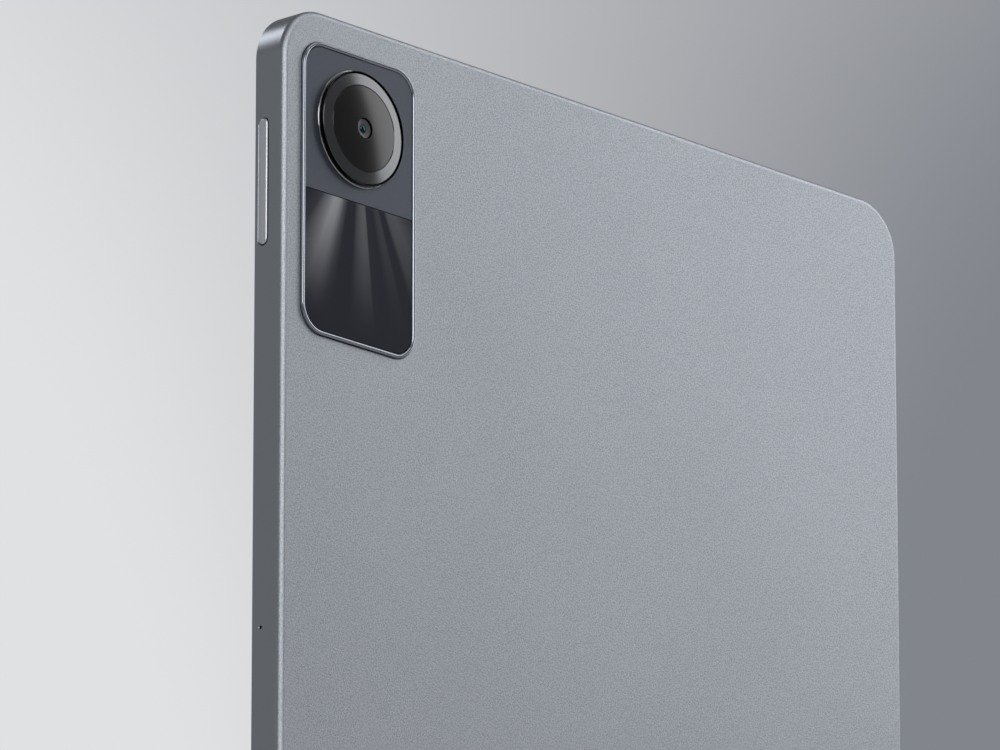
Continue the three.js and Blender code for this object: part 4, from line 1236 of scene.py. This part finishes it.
def satin_paint():
    """Satin paint with fine metal flakes: blue-grey, soft gloss, a hint of sparkle."""
    material, tree = new_material("satin_metal_paint")
    place = node(tree, "ShaderNodeTexCoord").outputs["Object"]
    flakes = node(
        tree, "ShaderNodeTexNoise", {"Vector": place, "Scale": 1 / PAINT_FLAKE, "Detail": 2}
    ).outputs["Fac"]
    colour = node(
        tree,
        "ShaderNodeMix",
        {"Factor": flakes, "A": linear(SATIN_TONE), "B": linear(SATIN_FLECK)},
        data_type="RGBA",
    )
    bump = node(tree, "ShaderNodeBump", {"Height": flakes, "Strength": 0.1, "Distance": mm(0.02)})
    shader = node(
        tree,
        "ShaderNodeBsdfPrincipled",
        {
            "Base Color": colour.outputs["Result"],
            "Metallic": 0.6,
            "Roughness": 0.36,
            "Coat Weight": 0.1,
            "Coat Roughness": 0.25,
            "Normal": bump.outputs["Normal"],
        },
    )
    node(tree, "ShaderNodeOutputMaterial", {"Surface": shader.outputs[0]})
    return material


def rayed_plastic():
    """Glossy plastic printed from behind: dark blue-grey with a fan of soft rays under the gloss."""
    material, tree = new_material("rayed_gloss_plastic")
    place = node(tree, "ShaderNodeTexCoord").outputs["Object"]
    from_lens = node(
        tree,
        "ShaderNodeVectorMath",
        {0: place, 1: (lens_centre.x, 0, lens_centre.z)},
        operation="SUBTRACT",
    ).outputs["Vector"]
    parts = node(tree, "ShaderNodeSeparateXYZ", {0: from_lens})
    across = node(tree, "ShaderNodeMath", {0: parts.outputs["X"], 1: -1}, operation="MULTIPLY")
    down = node(tree, "ShaderNodeMath", {0: parts.outputs["Z"], 1: -1}, operation="MULTIPLY")
    angle = node(
        tree, "ShaderNodeMath", {0: across.outputs[0], 1: down.outputs[0]}, operation="ARCTAN2"
    ).outputs[0]
    limit = math.radians(RAY_LIMIT)
    place_in_fan = node(
        tree, "ShaderNodeMapRange", {"Value": angle, "From Min": -limit, "From Max": limit}
    ).outputs["Result"]
    fan = node(tree, "ShaderNodeValToRGB", {"Fac": place_in_fan})
    stops = fan.color_ramp
    stops.elements.remove(stops.elements[1])
    stops.elements[0].color = (0, 0, 0, 1)
    for degrees, light in RAYS:
        stop = stops.elements.new((degrees + RAY_LIMIT) / (2 * RAY_LIMIT))
        stop.color = (light, light, light, 1)
    flat = node(
        tree, "ShaderNodeCombineXYZ", {"X": parts.outputs["X"], "Z": parts.outputs["Z"]}
    ).outputs[0]
    reach = node(tree, "ShaderNodeVectorMath", {0: flat}, operation="LENGTH").outputs["Value"]
    fade = node(
        tree,
        "ShaderNodeMapRange",
        {"Value": reach, "From Min": RAY_REACH, "From Max": RAY_START},
        interpolation_type="SMOOTHSTEP",
    ).outputs["Result"]
    light = node(
        tree, "ShaderNodeMath", {0: fan.outputs["Color"], 1: fade}, operation="MULTIPLY"
    ).outputs[0]
    colour = node(
        tree,
        "ShaderNodeMix",
        {"Factor": light, "A": linear(GLOSS_TONE), "B": linear(RAY_TONE)},
        data_type="RGBA",
    )
    shader = node(
        tree,
        "ShaderNodeBsdfPrincipled",
        {
            "Base Color": colour.outputs["Result"],
            "Roughness": 0.3,
            "Specular IOR Level": 0.06,
            "Coat Weight": 0.05,
            "Coat Roughness": 0.08,
        },
    )
    node(tree, "ShaderNodeOutputMaterial", {"Surface": shader.outputs[0]})
    return material


def tile(name, corners):
    low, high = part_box(name)
    shape = rounded(high.x - low.x, high.z - low.z, corners, 16)
    return loft(name, "Y", (low + high) / 2, shape, [(low.y, 0)] + rounding(high.y, TILE_EDGE, steps=4))


TILE_CORNER = PLATE_CORNER - TRIM_WIDTH - FIT
SHARP = mm(0.1)
ring_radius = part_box("camera_ring")[1].x - lens_centre.x
upper = tile("camera_plate_upper", (TILE_CORNER, TILE_CORNER, SHARP, SHARP))
seat_shape = rounded(2 * (ring_radius + FIT), 2 * (ring_radius + FIT), ring_radius + FIT, 32)
seat_levels = [(back - PAST, 0), (back + PAST, 0)]
carve(upper, [loft("seat", "Y", lens_centre, seat_shape, seat_levels)])
fit(upper, satin_paint(), "tablet", "satin_plate", "camera_plate_upper")
lower = tile("camera_plate_lower", (SHARP, SHARP, TILE_CORNER, TILE_CORNER))
fit(lower, rayed_plastic(), "tablet", "gloss_plate", "camera_plate_lower")


# ---- Camera ring and lens cover ----
# A turned aluminium ring stands up from the plate on a polished foot. Inside it, past a shadow gap, lies
# a spun grey bezel round a disc of dark glass, which is printed black but for a clear spot over the lens.

RING_FOOT = mm(0.25)
RING_WALL_EDGE = mm(0.1)
FOOT_CUT = mm(0.01)  # how far outside the wall the bare cut starts
COVER_RADIUS = mm(7.9)
BEZEL_SLOPE = mm(0.3)  # the bezel falls by this from the glass outwards
BEZEL_EDGE = mm(0.05)
BEZEL_LIP = mm(0.08)
COVER_CROWN = mm(0.4)
COVER_EDGE = mm(0.06)
COVER_STEPS = 14
COVER_WIPE = mm(6)
CLEAR_SPOT = mm(1.9)
RING_TONE = "#1c1d1f"
RING_LIGHT = "#2b2c2e"
SPUN_TONE = "#56575a"
SPUN_LIGHT = "#6e6f72"
FOOT_TONE = "#a3a4a6"
SPIN_LINE = mm(0.12)  # pitch of the turning marks, drawn coarser than the real 0.03 mm

ring_wall = ring_radius - RING_FOOT


def spun_aluminium(name, dark, light):
    """Dyed anodised aluminium, turned on a lathe: fine rings that fan out the light in two wedges.
    The ring's foot is cut again after dyeing, so it is bare and bright."""
    material, tree = new_material(name)
    place = node(tree, "ShaderNodeTexCoord").outputs["Object"]
    from_lens = node(
        tree, "ShaderNodeVectorMath", {0: place, 1: tuple(lens_centre)}, operation="SUBTRACT"
    ).outputs["Vector"]
    parts = node(tree, "ShaderNodeSeparateXYZ", {0: from_lens})
    flat = node(
        tree, "ShaderNodeCombineXYZ", {"X": parts.outputs["X"], "Z": parts.outputs["Z"]}
    ).outputs[0]
    radius = node(tree, "ShaderNodeVectorMath", {0: flat}, operation="LENGTH").outputs["Value"]
    marks = node(
        tree,
        "ShaderNodeTexNoise",
        {"W": radius, "Scale": 1 / SPIN_LINE, "Detail": 2},
        noise_dimensions="1D",
    ).outputs["Fac"]
    colour = node(
        tree,
        "ShaderNodeMix",
        {"Factor": marks, "A": linear(dark), "B": linear(light)},
        data_type="RGBA",
    )
    foot = node(
        tree,
        "ShaderNodeMapRange",
        {"Value": radius, "From Min": ring_wall + FOOT_CUT, "From Max": ring_wall + 5 * FOOT_CUT},
    ).outputs["Result"]
    two_tone = node(
        tree,
        "ShaderNodeMix",
        {"Factor": foot, "A": colour.outputs["Result"], "B": linear(FOOT_TONE)},
        data_type="RGBA",
    )
    outward = node(
        tree, "ShaderNodeVectorMath", {0: flat}, operation="NORMALIZE"
    ).outputs["Vector"]
    bump = node(tree, "ShaderNodeBump", {"Height": marks, "Strength": 0.12, "Distance": mm(0.01)})
    shader = node(
        tree,
        "ShaderNodeBsdfPrincipled",
        {
            "Base Color": two_tone.outputs["Result"],
            "Metallic": 1,
            "Roughness": 0.17,
            "Anisotropic": 0.3,
            "Tangent": outward,
            "Normal": bump.outputs["Normal"],
        },
    )
    node(tree, "ShaderNodeOutputMaterial", {"Surface": shader.outputs[0]})
    return material


def printed_cover_glass():
    """Polished glass printed black from behind, round a clear spot for the lens. A thin coat against
    glare spreads its reflections a little."""
    material, tree = new_material("printed_cover_glass")
    place = node(tree, "ShaderNodeTexCoord").outputs["Object"]
    wipe = node(tree, "ShaderNodeTexNoise", {"Vector": place, "Scale": 1 / COVER_WIPE}).outputs["Fac"]
    roughness = node(
        tree, "ShaderNodeMapRange", {"Value": wipe, "To Min": 0.13, "To Max": 0.17}
    ).outputs["Result"]
    shader = node(
        tree,
        "ShaderNodeBsdfPrincipled",
        {"Base Color": linear(PRINT_TONE), "Roughness": roughness, "IOR": 1.5},
    )
    node(tree, "ShaderNodeOutputMaterial", {"Surface": shader.outputs[0]})
    return material


ring_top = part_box("camera_ring")[1].y
ring_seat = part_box("camera_ring")[0].y
bezel_low, bezel_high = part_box("camera_bezel")
bezel_outer = bezel_high.x - lens_centre.x
tile_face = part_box("camera_plate_upper")[1].y
shelf = bezel_low.y - FILM
ring_profile = [
    (CAMERA_OPENING + FIT, ring_seat),
    (ring_radius, ring_seat),
    (ring_radius, tile_face + RING_FOOT / 2),
    (ring_radius - RING_FOOT * 0.3, tile_face + RING_FOOT * 0.85),
    (ring_wall + RING_FOOT * 0.2, tile_face + RING_FOOT),
    (ring_wall, tile_face + RING_FOOT),
    (ring_wall, ring_top - RING_WALL_EDGE),
    (ring_wall - RING_WALL_EDGE * 0.3, ring_top - RING_WALL_EDGE * 0.3),
    (ring_wall - RING_WALL_EDGE, ring_top),
    (ring_wall - 1.6 * RING_WALL_EDGE, ring_top - RING_WALL_EDGE / 2),
    (ring_wall - 2 * RING_WALL_EDGE, shelf),
    (CAMERA_OPENING + FIT, shelf),
]
wall = turned("camera_ring", lens_centre, ring_profile)
black_ring = spun_aluminium("turned_black_ring", RING_TONE, RING_LIGHT)
fit(wall, black_ring, "tablet", "brushed_ring", "camera_ring")

bezel_profile = [
    (COVER_RADIUS + FIT, bezel_low.y),
    (bezel_outer, bezel_low.y),
    (bezel_outer, bezel_high.y - BEZEL_SLOPE - BEZEL_EDGE),
    (bezel_outer - BEZEL_EDGE, bezel_high.y - BEZEL_SLOPE),
    (COVER_RADIUS + FIT + BEZEL_LIP, bezel_high.y),
    (COVER_RADIUS + FIT, bezel_high.y - COVER_EDGE),
]
bezel = turned("camera_bezel", lens_centre, bezel_profile)
grey_bezel = spun_aluminium("spun_grey_bezel", SPUN_TONE, SPUN_LIGHT)
fit(bezel, grey_bezel, "tablet", "brushed_ring", "camera_bezel")

cover_low, cover_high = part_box("camera_lens_cover")
cover_profile = [
    (CLEAR_SPOT, cover_low.y + FILM),
    (COVER_RADIUS, cover_low.y + FILM),
    (COVER_RADIUS, cover_high.y - COVER_EDGE),
]
for i in range(COVER_STEPS + 1):
    reach = (COVER_RADIUS - COVER_EDGE) * (1 - i / COVER_STEPS) + CLEAR_SPOT * i / COVER_STEPS
    cover_profile.append((reach, cover_high.y + COVER_CROWN * (1 - (reach / COVER_RADIUS) ** 2)))
lens_cover = turned("camera_lens_cover", lens_centre, cover_profile)
fit(lens_cover, printed_cover_glass(), "tablet", "dark_glass", "camera_lens_cover")


# ---- Card tray ----
# A milled aluminium drawer for one memory card slides into the side without keys. A rubber seal lies
# behind its face, and a pin pushed into the small hole ejects it from the tinned cage of the reader.

RUBBER_TONE = "#1d1e20"

# The tray takes the keys' material, whose tone is painted lighter to stand for light.
coat(key_metal, "card_tray")
coat(soft_black("moulded_rubber", RUBBER_TONE, mm(0.4), 0.1), "card_tray_seal")
coat(tin, "card_reader")


# ---- Studio ----
# A pale floor, a grey paper backdrop with painted shade that darkens it to one side, and large soft
# boxes of white light. The floor is seen from above only, since the camera looks up at the tablet
# from just under its level.

FLOOR_RADIUS = 1.05  # ends short of the side soft box, which reaches below floor level
FLOOR_TONE = "#dcdcda"
BACKDROP_LIGHT = "#e0e1e3"
# Painted shade: the backdrop's colour on its darker side, seen only by the camera.
BACKDROP_PAINTED_SHADE = "#82858c"
BACKDROP_SPREAD = 12  # how much stronger the fade gets from top to bottom
ROOM_LIGHT = 0.2
LENS = 361.2
SENSOR = 36
VIEW_TARGET = Vector((0.02306, 0, 0.20023))
VIEW_AZIMUTH = math.radians(132.46)
VIEW_ELEVATION = math.radians(-16.58)
VIEW_DISTANCE = 1.8
HALF_FRAME = SENSOR / LENS / 2


def floor_paint():
    """Matt painted board: pale, even and without gloss, so it only takes soft shadows."""
    material, tree = new_material("matt_floor_paint")
    paint = node(tree, "ShaderNodeBsdfDiffuse", {"Color": linear(FLOOR_TONE)})
    nothing = node(tree, "ShaderNodeBsdfTransparent")
    underside = node(tree, "ShaderNodeNewGeometry").outputs["Backfacing"]
    both = node(
        tree, "ShaderNodeMixShader", {0: underside, 1: paint.outputs[0], 2: nothing.outputs[0]}
    )
    node(tree, "ShaderNodeOutputMaterial", {"Surface": both.outputs[0]})
    return material


disc = bmesh.new()
bmesh.ops.create_circle(disc, cap_ends=True, radius=FLOOR_RADIUS, segments=96)
floor_mesh = bpy.data.meshes.new("floor")
disc.to_mesh(floor_mesh)
disc.free()
if floor_mesh.polygons[0].normal.z < 0:
    floor_mesh.flip_normals()
floor = bpy.data.objects.new("floor", floor_mesh)
bpy.context.scene.collection.objects.link(floor)
floor.data.materials.append(floor_paint())


def backdrop():
    """Paper backdrop behind the tablet with painted shade towards one side, seen only by the camera,
    and even room light from everywhere else.
    """
    world = bpy.data.worlds.new("studio_room")
    bpy.context.scene.world = world
    world.use_nodes = True
    tree = world.node_tree
    tree.nodes.clear()
    direction = node(tree, "ShaderNodeTexCoord").outputs["Generated"]
    across = (math.cos(VIEW_AZIMUTH), math.sin(VIEW_AZIMUTH), 0)
    share = node(tree, "ShaderNodeVectorMath", {0: direction, 1: across}, operation="DOT_PRODUCT")
    height = node(tree, "ShaderNodeSeparateXYZ", {0: direction}).outputs["Z"]
    level = 1 - BACKDROP_SPREAD * math.sin(VIEW_ELEVATION)
    spread = node(
        tree,
        "ShaderNodeMath",
        {0: height, 1: -BACKDROP_SPREAD, 2: level},
        operation="MULTIPLY_ADD",
    )
    slanted = node(
        tree,
        "ShaderNodeMath",
        {0: share.outputs["Value"], 1: spread.outputs[0]},
        operation="MULTIPLY",
    ).outputs[0]
    fade = node(
        tree,
        "ShaderNodeMapRange",
        {"Value": slanted, "From Min": -HALF_FRAME, "From Max": HALF_FRAME},
        interpolation_type="SMOOTHSTEP",
    )
    paper = node(
        tree,
        "ShaderNodeMix",
        {
            "Factor": fade.outputs["Result"],
            "A": linear(BACKDROP_LIGHT),
            "B": linear(BACKDROP_PAINTED_SHADE),
        },
        data_type="RGBA",
    )
    seen = node(tree, "ShaderNodeBackground", {"Color": paper.outputs["Result"]})
    room = node(tree, "ShaderNodeBackground", {"Color": linear("#ffffff"), "Strength": ROOM_LIGHT})
    direct = node(tree, "ShaderNodeLightPath").outputs["Is Camera Ray"]
    both = node(
        tree, "ShaderNodeMixShader", {0: direct, 1: room.outputs[0], 2: seen.outputs[0]}
    )
    node(tree, "ShaderNodeOutputWorld", {"Surface": both.outputs[0]})


backdrop()


def soft_box(name, direction, distance, width, height, watts):
    """A soft box on a stand, turned towards the tablet and never in the picture itself."""
    lamp = bpy.data.lights.new(name, "AREA")
    lamp.shape = "RECTANGLE"
    lamp.size = width
    lamp.size_y = height
    lamp.energy = watts
    stand = bpy.data.objects.new(name, lamp)
    stand.location = VIEW_TARGET + Vector(direction).normalized() * distance
    stand.rotation_euler = Vector(direction).to_track_quat("Z", "Y").to_euler()
    stand.visible_camera = False
    bpy.context.scene.collection.objects.link(stand)


soft_box("back_softbox", (-0.826, 0.334, 0.454), 0.9, 0.6, 0.6, 2.5)
soft_box("key_softbox", (0.40, 0.85, 0.38), 1.2, 1.4, 0.6, 7.5)
soft_box("top_softbox", (0.25, -0.65, 0.70), 1.0, 0.32, 0.32, 0.8)
soft_box("overhead_softbox", (-0.20, 0.45, 0.87), 1.1, 0.8, 0.8, 2.2)
soft_box("side_softbox", (0.90, -0.40, 0.15), 1.1, 1.4, 0.9, 0.7)

camera_data = bpy.data.cameras.new("camera")
camera_data.lens = LENS
camera_data.sensor_width = SENSOR
camera = bpy.data.objects.new("camera", camera_data)
towards_camera = Vector((
    math.sin(VIEW_AZIMUTH) * math.cos(VIEW_ELEVATION),
    -math.cos(VIEW_AZIMUTH) * math.cos(VIEW_ELEVATION),
    math.sin(VIEW_ELEVATION),
))
camera.location = VIEW_TARGET + towards_camera * VIEW_DISTANCE
camera.rotation_euler = towards_camera.to_track_quat("Z", "Y").to_euler()
bpy.context.scene.collection.objects.link(camera)
bpy.context.scene.camera = camera
bpy.context.scene.view_settings.view_transform = "Standard"
